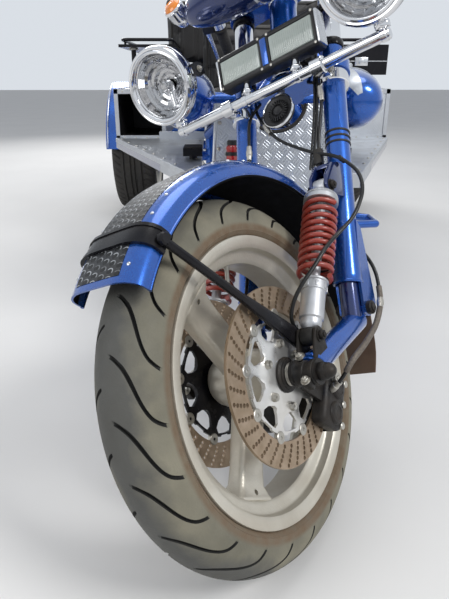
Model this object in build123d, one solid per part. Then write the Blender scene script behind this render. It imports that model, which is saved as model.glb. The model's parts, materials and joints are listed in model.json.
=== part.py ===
from build123d import *
import math
import os

# A home-built motorized trike: one steered wheel on a leading-link fork in front, two wide wheels behind.
# Millimetres. +Z up, the front towards -Y, +X the rider's left, and the ground at z = 0.
# While it is drawn, the steering axis meets the ground at y = 0; save() moves the origin to mid-length.

# Steering geometry
RAKE = 36.2                # steering axis, degrees back from upright
STEER_STOP = 40.35         # the fork rests on its right-hand stop, turned this far
AXLE_FORWARD = 162.8       # front axle ahead of the steering axis

# Front wheel
FRONT_TYRE_R = 299.0
FRONT_TYRE_HALF = 54.0     # half width, and the radius of the round crown
FRONT_BEAD_R = 216.0
FRONT_BEAD_HALF = 45.0
RIM_LIP_R = 229.0
RIM_LIP_T = 5.0
RIM_WALL = 7.0
RIM_WELL_R = 196.0         # drop centre, outside
SPOKES = 3
SPOKE_W = 62.0
SPOKE_T = 34.0
SPOKE_ANGLE = 34.6         # first spoke, from the forward direction
HUB_R = 42.0
HUB_HALF = 58.0
DISC_R = 142.0
DISC_T = 5.0
DISC_X = 66.0              # middle of each brake disc from the wheel's middle
DISC_WINDOWS = 10

# Fork, in its own frame: x to the left, y backwards, z up the steering axis
LEG_X = 109.6
LEG_R = 23.0
LEG_TOP_R = 20.5           # thinner tube above the lamp bar
LEG_BOTTOM = 432.0
LEG_WALL = 3.0             # at its open lower end
LEG_RIM = 2.0              # the lower end stands out by this much
PIVOT = (24.0, 388.0)      # link pivot: behind the leg, height
CHEEK_T = 5.0              # the two cheek plates that carry the pivot
PIVOT_R = 8.0
PIVOT_OUT = 6.0            # its bolt stands past the cheeks
LINK_R = 20.0
ELBOW = (12.0, 362.0)      # where the link turns up into the leg
UPRIGHT_R = 18.5
UPRIGHT_TOP = 468.0
AXLE_R = 10.0
AXLE_HALF = 150.0
AXLE_BOSS = 21.0           # half width of the link's boss on the axle
SPACER_R = 18.0            # between each disc and its link
CALIPER_BACK = 118.0       # caliper's middle behind the axle
CALIPER_DROP = 34.0        # and below it
CALIPER_TILT = 16.0
CALIPER_ARM_T = 8.0
SHOCK_X = 107.5
SHOCK_TOP = (-72.0, 597.0)
SHOCK_LOW = (-142.0, 316.0)
SHOCK_CAP = (18.0, 37.0)   # spring cap, along the shock from its top eye
SHOCK_SEAT = (191.0, 196.0)
SHOCK_ROD_R = 9.0
SHOCK_BODY_R = 20.0
SHOCK_EYE_R = 15.0
SHOCK_EYE_HALF = 11.0
EYE_GAP = 1.5              # each side of an eye, to the lugs that hold it
LUG_T = 5.0
LUG_OUT = SHOCK_EYE_HALF + EYE_GAP + LUG_T / 2
COIL_R = 31.5              # outside of the spring
WIRE_R = 4.6
COILS = 10.0
SPRING_GAP = 0.2
YOKE_T = 26.0
LOWER_YOKE = 868.0         # underside
YOKE_SPREAD = 244.0        # from the lower yoke to the upper one
UPPER_YOKE = LOWER_YOKE + YOKE_SPREAD
SLEEVE_TOP = LOWER_YOKE + 57.0
NECK_R = 30.0
STEM_R = 14.0
BEARING_GAP = 2.0          # between the neck and each yoke
RUNNING_GAP = 0.6          # round a turning shaft

# Front fender
FENDER_GAP = 84.0          # over the tyre at the top
FENDER_R = FRONT_TYRE_R + FENDER_GAP
FENDER_BACK = 50.8         # its centre behind the axle
FENDER_DROP = 10.6         # and below it
FENDER_HALF = 68.0
FENDER_SIDE = 34.0         # how far the sides come down
FENDER_FLAT = 30.0         # half width of the flat crown
FENDER_T = 3.0
FENDER_FROM = 15.0         # arc, from the forward direction
FENDER_TO = 150.0
FENDER_STEPS = 5
STAY_AT = 26.0             # the strap, on the same arc
BACK_STAY_AT = 143.0
STAY_R = 6.0
STAY_INSET = 21.0          # how far below the crown the stays are held
STRAP_T = 3.5
FLAP_T = 4.0               # the rubber flap behind the wheel
FLAP_HALF = (52.0, 40.0)   # above, below
FLAP_LOW = (252.0, 300.0)

# Lamps on the fork
BAR = (-60.0, LOWER_YOKE - 13.0)
BAR_HALF = 255.0
BAR_R = 11.0
LAMP_X = 244.3
LAMP_FACE = (-143.0, BAR[1] + 71.0)
LAMP_R = 85.0
LAMP_RIM = 1.25            # whole lamp over its glass
LAMP_TILT = 37.0
LAMP_DEPTH = 95.0
TWIN_FACE = (-79.0, BAR[1] + 76.0)
TWIN_TILT = 12.3
TWIN_HALF = 122.0
TWIN_H = 76.0
TWIN_DEPTH = 34.0
LENS_W = 100.0
LENS_H = 52.0
LENS_GAP = 26.0

# Rear wheels
REAR_AXLE = (2650.0, 330.0)
REAR_TYRE_R = 330.0
REAR_TYRE_W = 230.0
REAR_WHEEL_X = 583.0       # middle of each rear wheel
REAR_RIM_R = 203.0
REAR_CROWN = 28.0          # radius of the shoulder
REAR_FENDER_GAP = 50.0
REAR_FENDER_OUT = 130.0    # its outer side, from the wheel's middle
REAR_FENDER_T = 5.0
REAR_FENDER_ARC = (8.0, 172.0)

# Body
RAIL_X = 165.0
RAIL_R = 21.0
LOW_RAIL_Z = 335.0
KICK_Z = 405.0             # the low rails rise over the rear axle
HIGH_RAIL_Z = 560.0
BRACE_R = 16.0
BACKBONE = (815.0, 735.0)  # back, height: where the neck's top tube meets the rails
DOWN_TUBE_Y = 790.0
HIGH_RAIL_FRONT = 1180.0
UPRIGHT_TUBES = (1700.0, 2250.0)
TAIL_PAST_AXLE = 180.0
OUTRIGGERS = ((860, 240), (1180, 370), (1500, 480), (1900, 500), (2190, 500))  # back, reach
BULKHEAD_Y = 688.0
BULKHEAD_LEAN = 7.0
BULKHEAD_HALF = (170.0, 150.0)     # below, above
BULKHEAD_TOP = 680.0
BULKHEAD_T = 5.0
BULKHEAD_ARCH_R = 78.0
FLOOR_Z = 513.0            # top of the tread plate
FLOOR_T = 6.0
FLOOR_LIP = 34.0           # depth of the trim along the slanted edge
FLOOR_X = 530.0
FLOOR_FRONT = 656.0
BOX_FRONT = 1540.0
BOX_BACK = 2240.0
BOX_TOP = 690.0
BOX_IN = 340.0
BOX_WALL = 5.0
RACK_Z = 848.0
RACK_IN = 291.0
RACK_OUT = 498.0
RACK_FRONT = 1500.0
RACK_BACK = 2140.0
RACK_T = 10.0
RACK_HOLES_X = 120.0       # four luggage bolt holes
RACK_HOLES_Y = 400.0
RACK_HOLE_R = 4.5
EXHAUST_END = 3020.0
TANK_X = 232.0
TANK_Z = 680.0
TANK_R = 82.0
TANK_FRONT = 775.0
TANK_BACK = 1290.0
TANK_BRIDGES = (930.0, 1120.0)

# Dash pod across the upper yoke
POD_HALF = 190.0
POD_R = 58.0
POD_MID = (-108.0, UPPER_YOKE - 12.0)
EGG_STEPS = 10

# Handlebar above the upper yoke: x, back, up
BAR_BENDS = ((45, 8, 0), (45, 8, 157), (120, 24, 184), (290, 90, 252), (345, 190, 240), (400, 330, 197))
HANDLE_R = 13.0
HANDLE_BEND = 45.0
GRIP_R = 18.0
GRIP_FROM = 25.0
GRIP_LENGTH = 125.0

# Horn below the lower yoke
HORN_R = 37.0
HORN_DROP = 53.0

# Foot pegs and pedals
PEG_LOOP = ((160, 790, 400), (190, 740, 390), (260, 725, 385), (262, 660, 385), (205, 640, 388),
            (160, 790, 384))
PEG_R = 10.0
PEDAL = (216.0, 945.0)
PEDAL_PAD = (56.0, 80.0)

# Seats, front to back, and the body over the rear axle
PAN_T = 6.0
POST_R = 12.0              # the posts behind the passengers' backrest
RIDER_SEAT = (1300.0, 1680.0)
RIDER_HALF = 210.0
RIDER_T = 106.0
RIDER_BACK = (1672.0, 1742.0)
RIDER_BACK_TOP = 950.0
BENCH = (1760.0, 2130.0)
BENCH_HALF = 280.0
BENCH_Z = 640.0
BENCH_T = 100.0
REST = (2150.0, 2250.0)
REST_HALF = 383.0
REST_Z = (752.0, 1090.0)
BODY_HALF = 440.0
BODY_FRONT = 2260.0
BODY_BACK = 2960.0
BODY_TOP = 860.0
BODY_WALL = 6.0
TAIL_LAMP = (90.0, 70.0, 30.0)
TAIL_LAMP_X = 350.0
PLATE = (260.0, 120.0, 5.0)
PLATE_Z = 640.0

# Engine, as one block between the rails, and its two exhausts
ENGINE_HALF = 140.0
ENGINE_Y = (1760.0, 2380.0)
ENGINE_Z = (370.0, 470.0)
MOUNT_R = 18.0
EXHAUST_X = 250.0
EXHAUST_Z = 235.0
EXHAUST_R = 32.0

# Brake hoses, each a line of points on the fork that is held at both ends
HOSE_R = 3.4
HOSE_BEND = 14.0
HOSES = (
    ((-72, -14, 868), (-65.8, -20, 841.8), (-17, -30, 759.4), (70.5, -36, 695.5), (131.3, -42, 664),
     (172.5, -54, 614.8), (184.2, -66, 572.3), (172, -84, 520), (144.6, -110, 482.4), (139, -137, 454.6),
     (126.8, -150, 425.7), (111.2, -164, 397.5), (96, -168, 370.4), (84, -160, 346), (80, -110, 300),
     (84, -58, 268)),
    ((60, -14, 868), (94, -32, 840), (97, -30, 802), (82, -32, 700), (80, -6, 630), (84, 34, 575),
     (112, 44, 520), (140, 56, 470), (142, 64, 420), (150, 40, 388), (150, 14, 350), (148, -32, 312),
     (142, -68, 284), (118, -66, 252), (90, -56, 236)),
    ((-60, -14, 868), (-80, -31, 830), (-82, -32, 700), (-84, -36, 600), (-84, -44, 480), (-84, -60, 380),
     (-84, -56, 300), (-86, -50, 266)),
)

SIDES = (1, -1)


def rot_x(deg, y, z):
    # a point of the (y, z) plane turned about X
    a = math.radians(deg)
    return y * math.cos(a) - z * math.sin(a), y * math.sin(a) + z * math.cos(a)


# The wheel leans when it is steered, and its round crown stands on the ground.
LEAN = math.asin(math.sin(math.radians(RAKE)) * math.sin(math.radians(STEER_STOP)))
WHEEL_Z = (FRONT_TYRE_R - FRONT_TYRE_HALF) * math.cos(LEAN) + FRONT_TYRE_HALF
FORWARD_RISE = math.sin(math.radians(RAKE)) * math.cos(math.radians(STEER_STOP))
AXLE_UP = (WHEEL_Z - AXLE_FORWARD * FORWARD_RISE) / math.cos(math.radians(RAKE))
AXLE = (-AXLE_FORWARD, AXLE_UP)
FENDER_MID = (AXLE[0] + FENDER_BACK, AXLE[1] - FENDER_DROP)

# The origin is on the ground below the middle of the length: front tyre to exhaust ends.
AXLE_TURN = math.sin(math.radians(STEER_STOP)) * math.cos(math.radians(RAKE))
TYRE_REACH = (FRONT_TYRE_R - FRONT_TYRE_HALF) * math.sqrt(1 - AXLE_TURN ** 2) + FRONT_TYRE_HALF
WHEEL_Y = AXLE_UP * math.sin(math.radians(RAKE)) - AXLE_FORWARD * (
    math.cos(math.radians(RAKE)) * math.cos(math.radians(STEER_STOP)))
MIDDLE_Y = (WHEEL_Y - TYRE_REACH + EXHAUST_END) / 2


def steered(shape):
    # from the fork's own frame to the vehicle's, turned to the right stop
    return shape.rotate(Axis.Z, -STEER_STOP).rotate(Axis.X, -RAKE)


def rod(p, q, r, inner=0.0):
    # round bar or tube from p to q
    p, q = Vector(*p), Vector(*q)
    plane = Plane(origin=p, z_dir=q - p)
    length = (q - p).length
    bar = extrude(plane * Circle(r), length)
    if inner:
        bar -= extrude(plane * Circle(inner), length)
    return bar


def ball(p, r):
    return Pos(*p) * Sphere(r)


def path_rod(points, r):
    # welded tube along a bent line, with a ball in each corner
    body = rod(points[0], points[1], r)
    for a, b in zip(points[1:], points[2:]):
        body += rod(a, b, r) + ball(a, r)
    return body


def bent_tube(points, r, bend):
    # one tube drawn round the bends of a line
    path = FilletPolyline(*points, radius=bend)
    return sweep(Plane(origin=path @ 0, z_dir=path % 0) * Circle(r), path=path)


def slab(lo, hi):
    size = [b - a for a, b in zip(lo, hi)]
    mid = [(a + b) / 2 for a, b in zip(lo, hi)]
    return Pos(*mid) * Box(*size)


def plate_x(points, x, t):
    # flat plate in the (y, z) plane, t thick about x
    face = Plane(origin=(x, 0, 0), x_dir=(0, 1, 0), z_dir=(1, 0, 0)) * Polygon(*points, align=None)
    return extrude(face, t / 2, both=True)


def plate_z(points, z, t):
    # flat plate in plan, from z upwards
    return Pos(0, 0, z + t / 2) * extrude(Polygon(*points, align=None), t / 2, both=True)


def both(make):
    # the same piece on the left and on the right, as two solids
    return Compound([solid for s in SIDES for solid in make(s).solids()])


def save(name, shape):
    shape = Pos(0, -MIDDLE_Y, 0) * shape
    solids = shape.solids()
    export_step(solids[0] if len(solids) == 1 else Compound(solids), f"parts/{name}.step")


def wheel_profile(points_and_arc):
    return revolve(Plane.XZ * make_face(points_and_arc), Axis.X, 360)


# Front wheel, made about the X axis and then carried to the axle

def front_tyre():
    w, r = FRONT_TYRE_HALF, FRONT_TYRE_R
    bead, side = FRONT_BEAD_HALF, RIM_LIP_R + 4
    right = Polyline((w, r - w), (bead, side), (bead, FRONT_BEAD_R), (-bead, FRONT_BEAD_R))
    left = Polyline((-bead, FRONT_BEAD_R), (-bead, side), (-w, r - w))
    crown = ThreePointArc((-w, r - w), (0, r), (w, r - w))
    return wheel_profile(right + left + crown)



def front_rim():
    b, seat, lip = FRONT_BEAD_HALF, FRONT_BEAD_R, RIM_LIP_R
    well = b * 0.55
    inner = seat - RIM_WALL
    outline = Polyline(
        (b, lip), (b + RIM_LIP_T, lip), (b + RIM_LIP_T, inner), (well + 6, inner),
        (well, RIM_WELL_R - RIM_WALL), (-well, RIM_WELL_R - RIM_WALL), (-well - 6, inner),
        (-b - RIM_LIP_T, inner), (-b - RIM_LIP_T, lip), (-b, lip), (-b, seat),
        (-well - 6, seat), (-well, RIM_WELL_R), (well, RIM_WELL_R), (well + 6, seat), (b, seat), (b, lip))
    rim = wheel_profile(outline)
    rim += Rot(0, 90, 0) * Cylinder(HUB_R, 2 * HUB_HALF)
    for i in range(SPOKES):
        reach = RIM_WELL_R - RIM_WALL + 3
        spoke = slab((-SPOKE_T / 2, -SPOKE_W / 2, 0), (SPOKE_T / 2, SPOKE_W / 2, reach))
        spoke = fillet(spoke.edges().filter_by(Axis.Z), SPOKE_T * 0.35)
        rim += spoke.rotate(Axis.X, SPOKE_ANGLE + 90 - i * 360 / SPOKES)
    return rim - Rot(0, 90, 0) * Cylinder(AXLE_R + RUNNING_GAP, 4 * HUB_HALF)


def brake_disc(side):
    disc = Rot(0, 90, 0) * Cylinder(DISC_R, DISC_T)
    disc -= Rot(0, 90, 0) * Cylinder(AXLE_R + RUNNING_GAP, 2 * DISC_T)
    for i in range(DISC_WINDOWS):
        hole = Pos(0, 0, DISC_R * 0.55) * Rot(0, 90, 0) * Cylinder(11, 2 * DISC_T)
        disc -= hole.rotate(Axis.X, i * 360 / DISC_WINDOWS)
    carrier = Rot(0, 90, 0) * (Cylinder(HUB_R - 4, DISC_X - HUB_HALF - DISC_T / 2)
                               - Cylinder(AXLE_R + RUNNING_GAP, 4 * DISC_X))
    carrier = Pos(-(DISC_X - HUB_HALF) / 2, 0, 0) * carrier
    disc = Pos(DISC_X, 0, 0) * (disc + Pos(-DISC_T / 4, 0, 0) * carrier)
    return disc if side > 0 else disc.mirror(Plane.YZ)


def to_axle(shape):
    return steered(Pos(0, AXLE[0], AXLE[1]) * shape)


# Fork

def fork_leg(side):
    x = side * LEG_X
    leg = rod((x, 0, LEG_BOTTOM), (x, 0, LOWER_YOKE), LEG_R)
    leg += rod((x, 0, LEG_BOTTOM), (x, 0, LEG_BOTTOM + LEG_RIM * 4), LEG_R + LEG_RIM)
    py, pz = PIVOT
    back = [(py - 6, LEG_BOTTOM + 108), (py + 14, LEG_BOTTOM + 40), (py + 34, pz + 16)]
    below = [(py + 28, pz + 3), (py + 6, pz - 14), (py - 14, pz - 10), (0, LEG_BOTTOM)]
    middle = LEG_R - LEG_WALL + CHEEK_T / 2
    for s in SIDES:
        leg += plate_x([(0, LEG_BOTTOM + 120)] + back + below, x + s * middle, CHEEK_T)
    leg += plate_x(back + [(y - CHEEK_T, z) for y, z in back[::-1]], x, 2 * middle)
    leg -= rod((x, 0, LEG_BOTTOM - 1), (x, 0, UPRIGHT_TOP + 4), LEG_R - LEG_WALL)
    reach = middle + CHEEK_T / 2 + PIVOT_OUT
    leg += rod((x - reach, py, pz), (x + reach, py, pz), PIVOT_R)
    return leg + clevis(side)


def clevis(side):
    # two ears and a bridge over them, which hold the shock's top eye
    ty, tz = SHOCK_TOP
    root = -LEG_R + 8
    above = [(root, tz + 62), (ty + 32, tz + 58), (ty + 4, tz + 46)]
    front = [(ty - 14, tz + 16), (ty - 14, tz - 2), (ty - 8, tz - 12), (ty + 10, tz - 13), (root, tz - 2)]
    body = plate_x(above + [(y, z - 7) for y, z in above[::-1]], side * SHOCK_X, 2 * LUG_OUT)
    for s in SIDES:
        body += plate_x(above + front, side * SHOCK_X + s * LUG_OUT, LUG_T)
    return body


def fork_yokes():
    body = None
    for z, r in ((LOWER_YOKE, LEG_R + 11), (UPPER_YOKE, LEG_TOP_R + 11)):
        arm = slab((-LEG_X, -r * 0.8, z), (LEG_X, r * 0.8, z + YOKE_T))
        for x in (-LEG_X, 0, LEG_X):
            arm += Pos(x, 0, z + YOKE_T / 2) * Cylinder(r + 4 if x == 0 else r, YOKE_T)
        body = arm if body is None else body + arm
    for side in SIDES:
        x = side * LEG_X
        body += rod((x, 0, LOWER_YOKE), (x, 0, SLEEVE_TOP), LEG_R)
        body += rod((x, 0, SLEEVE_TOP), (x, 0, UPPER_YOKE + YOKE_T + 8), LEG_TOP_R)
    return body + rod((0, 0, LOWER_YOKE), (0, 0, UPPER_YOKE + YOKE_T), STEM_R)


def link(side):
    x = side * LEG_X
    (py, pz), (ay, az), (sy, sz) = PIVOT, AXLE, SHOCK_LOW
    boss_half = LEG_R - LEG_WALL - EYE_GAP
    arm = rod((x, *ELBOW), (x, ay, az), LINK_R) + ball((x, *ELBOW), LINK_R + 0.6)
    arm += bent_tube([(x, *ELBOW), (x, 0, LEG_BOTTOM), (x, 0, UPRIGHT_TOP)], UPRIGHT_R, 40)
    arm += rod((x - boss_half, py, pz), (x + boss_half, py, pz), PIVOT_R + 6)
    arm -= rod((x - LEG_X / 2, py, pz), (x + LEG_X / 2, py, pz), PIVOT_R)
    arm += rod((x - AXLE_BOSS, ay, az), (x + AXLE_BOSS, ay, az), AXLE_R + 16)
    lug = [(sy - 13, sz + 6), (sy + 13, sz + 8), (ay + 62, az), (ay + 6, az + 6)]
    for s in SIDES:
        arm += plate_x(lug, side * SHOCK_X + s * LUG_OUT, LUG_T)
    return arm - rod((x - LEG_X / 2, ay, az), (x + LEG_X / 2, ay, az), AXLE_R)


def shock_point(side, distance):
    # on a shock's axis, so far from its top eye
    top = Vector(side * SHOCK_X, *SHOCK_TOP)
    low = Vector(side * SHOCK_X, *SHOCK_LOW)
    return tuple(top + (low - top).normalized() * distance)


def shock(side):
    def bar(start, end, r):
        return rod(shock_point(side, start), shock_point(side, end), r)

    length = math.dist(SHOCK_TOP, SHOCK_LOW)
    cap, seat = SHOCK_CAP, SHOCK_SEAT
    body = bar(8, cap[0] + 2, SHOCK_ROD_R + 2) + bar(*cap, COIL_R - 1)
    body += bar(cap[1] - 2, seat[0] + 2, SHOCK_ROD_R) + bar(*seat, COIL_R - 4)
    body += bar(seat[1] - 2, length - SHOCK_EYE_R + 1, SHOCK_BODY_R)
    for distance in (0, length):
        x, y, z = shock_point(side, distance)
        body += rod((x - SHOCK_EYE_HALF, y, z), (x + SHOCK_EYE_HALF, y, z), SHOCK_EYE_R)
    return body


def spring(side):
    start, end = SHOCK_CAP[1] + SPRING_GAP + WIRE_R, SHOCK_SEAT[0] - SPRING_GAP - WIRE_R
    coil = Helix(pitch=(end - start) / COILS, height=end - start, radius=COIL_R - WIRE_R)
    wire = sweep(Plane(origin=coil @ 0, z_dir=coil % 0) * Circle(WIRE_R), path=coil, is_frenet=True)
    top = Vector(*shock_point(side, start))
    return Plane(origin=top, x_dir=(1, 0, 0), z_dir=Vector(*shock_point(side, end)) - top) * wire


def front_axle():
    ay, az = AXLE
    bar = rod((-AXLE_HALF, ay, az), (AXLE_HALF, ay, az), AXLE_R)
    for s in SIDES:
        bar += rod((s * (DISC_X + DISC_T / 2 + 1), ay, az), (s * (LEG_X - AXLE_BOSS), ay, az), SPACER_R)
        bar += rod((s * (LEG_X + AXLE_BOSS), ay, az), (s * (LEG_X + AXLE_BOSS + 13), ay, az), AXLE_R + 6)
    return bar


def caliper(side):
    x = side * DISC_X
    ay, az = AXLE
    my, mz = ay + CALIPER_BACK, az - CALIPER_DROP
    body = slab((-30, -34, -48), (30, 34, 48))
    body = fillet(body.edges().filter_by(Axis.X), 12)
    body -= slab((-DISC_T / 2 - 2, -40, -80), (DISC_T / 2 + 2, 22, 80))
    body = Pos(x, my, mz) * body.rotate(Axis.X, -CALIPER_TILT)
    arm = [(ay + 20, az - 18), (ay + 20, az + 14), (my + 10, mz + 30), (my + 20, mz - 20)]
    arm = plate_x(arm, side * (LEG_X - AXLE_BOSS - CALIPER_ARM_T / 2 - 1), CALIPER_ARM_T)
    return body + (arm - rod((x - LEG_X / 2, ay, az), (x + LEG_X / 2, ay, az), SPACER_R + 0.2))


def fender_section(radius, half, side, t):
    # one ring about X: a flat crown that rounds over into the two sides
    drop = side * 0.7
    line = []
    for i in range(FENDER_STEPS + 1):
        turn = math.pi / 2 * i / FENDER_STEPS
        line.append((math.sin(turn), 1 - math.cos(turn)))
    outer = [(FENDER_FLAT + (half - FENDER_FLAT) * u, radius - drop * v) for u, v in line]
    outer.append((half, radius - side))
    inner = [(FENDER_FLAT + (half - t - FENDER_FLAT) * u, radius - t - (drop - t) * v) for u, v in line]
    inner.append((half - t, radius - side))
    run = outer[::-1] + [(-x, r) for x, r in outer] + [(-x, r) for x, r in inner[::-1]] + inner
    return wheel_profile(Polyline(*run, run[0]))


def arc_wedge(start, end, width):
    # the part of a ring about X from one angle to another: forward is -y, and angles rise over the top
    reach = 3 * FENDER_R
    steps = 4
    points = [(0, 0)]
    for i in range(steps + 1):
        a = math.radians(start + (end - start) * i / steps)
        points.append((-reach * math.cos(a), reach * math.sin(a)))
    return plate_x(points, 0, width)


def fender_point(x, angle, inset):
    # a point of the fender's side, inset from its crown
    a = math.radians(angle)
    r = FENDER_R - inset
    return (x, FENDER_MID[0] - r * math.cos(a), FENDER_MID[1] + r * math.sin(a))


def front_fender():
    ring = fender_section(FENDER_R, FENDER_HALF, FENDER_SIDE, FENDER_T)
    return Pos(0, *FENDER_MID) * (ring & arc_wedge(FENDER_FROM, FENDER_TO, 4 * FENDER_HALF))


def fender_stays():
    # a strap over the crown, its two stays down to the lower shock bolts, and two short stays behind
    band = fender_section(FENDER_R + STRAP_T, FENDER_HALF + STRAP_T, FENDER_SIDE + 2, STRAP_T)
    strap = Pos(0, *FENDER_MID) * (band & arc_wedge(STAY_AT - 2, STAY_AT + 2.5, 4 * FENDER_HALF))
    lug_face = SHOCK_X - LUG_OUT - LUG_T / 2
    bolt_end = LEG_X - LEG_R + LEG_WALL - CHEEK_T - PIVOT_OUT
    thin = STAY_R - 1
    for s in SIDES:
        start = fender_point(s * (FENDER_HALF + STAY_R), STAY_AT, STAY_INSET)
        strap += rod(start, (s * (lug_face - STAY_R), *SHOCK_LOW), STAY_R)
        start = fender_point(s * (FENDER_HALF + thin), BACK_STAY_AT, STAY_INSET)
        strap += rod(start, (s * (bolt_end - thin), *PIVOT), thin)
    return strap


def fender_flap():
    # hangs from the inside of the fender's back edge
    x, y, z = fender_point(0, FENDER_TO, FENDER_T + FLAP_T / 2)
    low_y, low_z = FLAP_LOW
    wide, narrow = FLAP_HALF
    drop = math.dist((y, z), FLAP_LOW)
    flap = Polygon((-wide, 0), (wide, 0), (narrow, drop), (-narrow, drop), align=None)
    plane = Plane(origin=(x, y, z), x_dir=(1, 0, 0), z_dir=(0, z - low_z, low_y - y))
    return extrude(plane * flap, FLAP_T / 2, both=True) - front_fender()


def brake_hoses():
    ends = fork_yokes() + caliper(1) + caliper(-1)
    return Compound([(bent_tube(route, HOSE_R, HOSE_BEND) - ends).solid() for route in HOSES])


def light_bar():
    y, z = BAR
    bar = rod((-BAR_HALF, y, z), (BAR_HALF, y, z), BAR_R)
    for s in SIDES:
        clamp = slab((s * LEG_X - 14, y, z - 13), (s * LEG_X + 14, -LEG_R + 1.5, z + 11))
        bar += clamp - rod((s * LEG_X, 0, z - 60), (s * LEG_X, 0, z + 60), LEG_R)
        ly, lz = LAMP_FACE
        dy, dz = math.cos(math.radians(LAMP_TILT)), math.sin(math.radians(LAMP_TILT))
        mid = (ly + 45 * dy, lz + 45 * dz)
        stud = rod((s * LAMP_X, y, z), (s * LAMP_X, mid[0], mid[1]), 9)
        bar += stud - rod((s * LAMP_X, ly, lz), (s * LAMP_X, ly + 95 * dy, lz + 95 * dz), LAMP_R)
        stalk = rod((s * 60, y, z), (s * 60, TWIN_FACE[0] + 20, TWIN_FACE[1]), 8)
        bar += stalk - twin_box()
    return bar


def headlamp(side):
    ly, lz = LAMP_FACE
    # glass set back in a deep rim, and a bowl behind
    glass = LAMP_R / LAMP_RIM
    front = [(3, 0), (3, glass), (0, glass + 3), (0, LAMP_R - 2), (4, LAMP_R), (14, LAMP_R)]
    bowl = [(20, LAMP_R - 5), (50, LAMP_R - 14), (80, LAMP_R - 40), (LAMP_DEPTH, LAMP_R - 62)]
    bowl.append((LAMP_DEPTH, 0))
    lamp = revolve(Plane.XZ * make_face(Polyline(*front, *bowl, front[0])), Axis.X, 360)
    # profile's axis is X: turn it to point backwards and up in the fork's frame
    lamp = lamp.rotate(Axis.Z, 90).rotate(Axis.X, LAMP_TILT)
    return Pos(side * LAMP_X, ly, lz) * lamp


def twin_box():
    y, z = TWIN_FACE
    box = slab((-TWIN_HALF, 0, -TWIN_H / 2), (TWIN_HALF, TWIN_DEPTH, TWIN_H / 2))
    box = fillet(box.edges().filter_by(Axis.Y), 10)
    return Pos(0, y, z) * box.rotate(Axis.X, TWIN_TILT)


def twin_lamp():
    y, z = TWIN_FACE
    lens = None
    for s in SIDES:
        x = s * (LENS_GAP + LENS_W) / 2
        one = slab((x - LENS_W / 2, -3, -LENS_H / 2), (x + LENS_W / 2, 0, LENS_H / 2))
        lens = one if lens is None else lens + one
    return twin_box() + Pos(0, y, z) * lens.rotate(Axis.X, TWIN_TILT)


def egg(length, radius, blunt):
    # closed body of revolution about X from x = 0, its nose rounder for a smaller blunt
    points = [(0, 0)]
    for i in range(1, EGG_STEPS):
        u = i / EGG_STEPS
        x = length * (1 - math.cos(math.pi * u)) / 2
        points.append((x, radius * math.sin(math.pi * u ** blunt) ** 0.8))
    points += [(length, 0), (0, 0)]
    return revolve(Plane.XZ * make_face(Polyline(*points)), Axis.X, 360)


def dash_pod():
    y, z = POD_MID
    pod = Pos(-POD_HALF, y, z) * egg(2 * POD_HALF, POD_R, 1.0)
    # two tabs back to the upper yoke's front face
    face = -(LEG_TOP_R + 11) * 0.8
    for s in SIDES:
        lo, hi = sorted((s * 42, s * 70))
        pod += slab((lo, y + POD_R * 0.7, UPPER_YOKE + 4), (hi, face, UPPER_YOKE + YOKE_T - 4))
    return pod


def handlebar_point(side, i):
    x, y, up = BAR_BENDS[i]
    return (side * x, y, UPPER_YOKE + YOKE_T + up)


def handlebar():
    body = None
    for s in SIDES:
        arm = bent_tube([handlebar_point(s, i) for i in range(len(BAR_BENDS))], HANDLE_R, HANDLE_BEND)
        body = arm if body is None else body + arm
    x, y, up = BAR_BENDS[0]
    brace = UPPER_YOKE + YOKE_T + up + 110
    return body + rod((-x, y, brace), (x, y, brace), HANDLE_R - 3)


def grip(side):
    a, b = Vector(*handlebar_point(side, -2)), Vector(*handlebar_point(side, -1))
    d = (b - a).normalized()
    return rod(tuple(a + d * GRIP_FROM), tuple(a + d * (GRIP_FROM + GRIP_LENGTH)), GRIP_R, HANDLE_R)


def turn_signal(side):
    # on a short stalk at the end of the dash pod
    y, z = POD_MID
    x = side * (POD_HALF + 10)
    body = rod((side * (POD_HALF - 12), y, z), (x + side * 6, y - 4, z + 2), 9)
    body += rod((x, y - 42, z + 12), (x, y + 12, z - 4), 24)
    return body - dash_pod()


def horn():
    z = LOWER_YOKE - HORN_DROP
    body = rod((0, -43, z), (0, -8, z), HORN_R)
    return body + rod((0, -20, z), (0, -20, LOWER_YOKE), 8)


# Rear wheels

def rear_tyre():
    w, r, c = REAR_TYRE_W / 2, REAR_TYRE_R, REAR_CROWN
    rim = REAR_RIM_R
    lines = Polyline((w - c, r), (-w + c, r))
    left = ThreePointArc((-w + c, r), (-w + c * 0.3, r - c * 0.3), (-w, r - c))
    rest = Polyline((-w, r - c), (-w + 16, rim), (w - 16, rim), (w, r - c))
    right = ThreePointArc((w, r - c), (w - c * 0.3, r - c * 0.3), (w - c, r))
    return wheel_profile(lines + left + rest + right)


def rear_rim(side):
    w, r = REAR_TYRE_W / 2 - 16, REAR_RIM_R
    profile = Polyline((-w, r), (w, r), (w, r - 10), (-w + 8, r - 16), (-w, r - 16), (-w, r))
    rim = wheel_profile(profile)
    face = Pos(w * 0.35, 0, 0) * Rot(0, 90, 0) * Cylinder(r - 9, 14)
    for i in range(5):
        hole = Pos(w * 0.35, 0, r * 0.62) * Rot(0, 90, 0) * Cylinder(34, 40)
        face -= hole.rotate(Axis.X, i * 72 + 36)
    hub = Pos(w * 0.35 + 6, 0, 0) * Rot(0, 90, 0) * Cylinder(58, 46)
    rim = rim + face + hub
    return rim if side > 0 else rim.mirror(Plane.YZ)


def to_rear(side, shape):
    return Pos(side * REAR_WHEEL_X, *REAR_AXLE) * shape


# Chassis

def neck_point(c, b=0.0):
    # a point of the steering axis in the vehicle's frame, b forward of it
    y, z = rot_x(-RAKE, -b, c)
    return (0, y, z)


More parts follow.
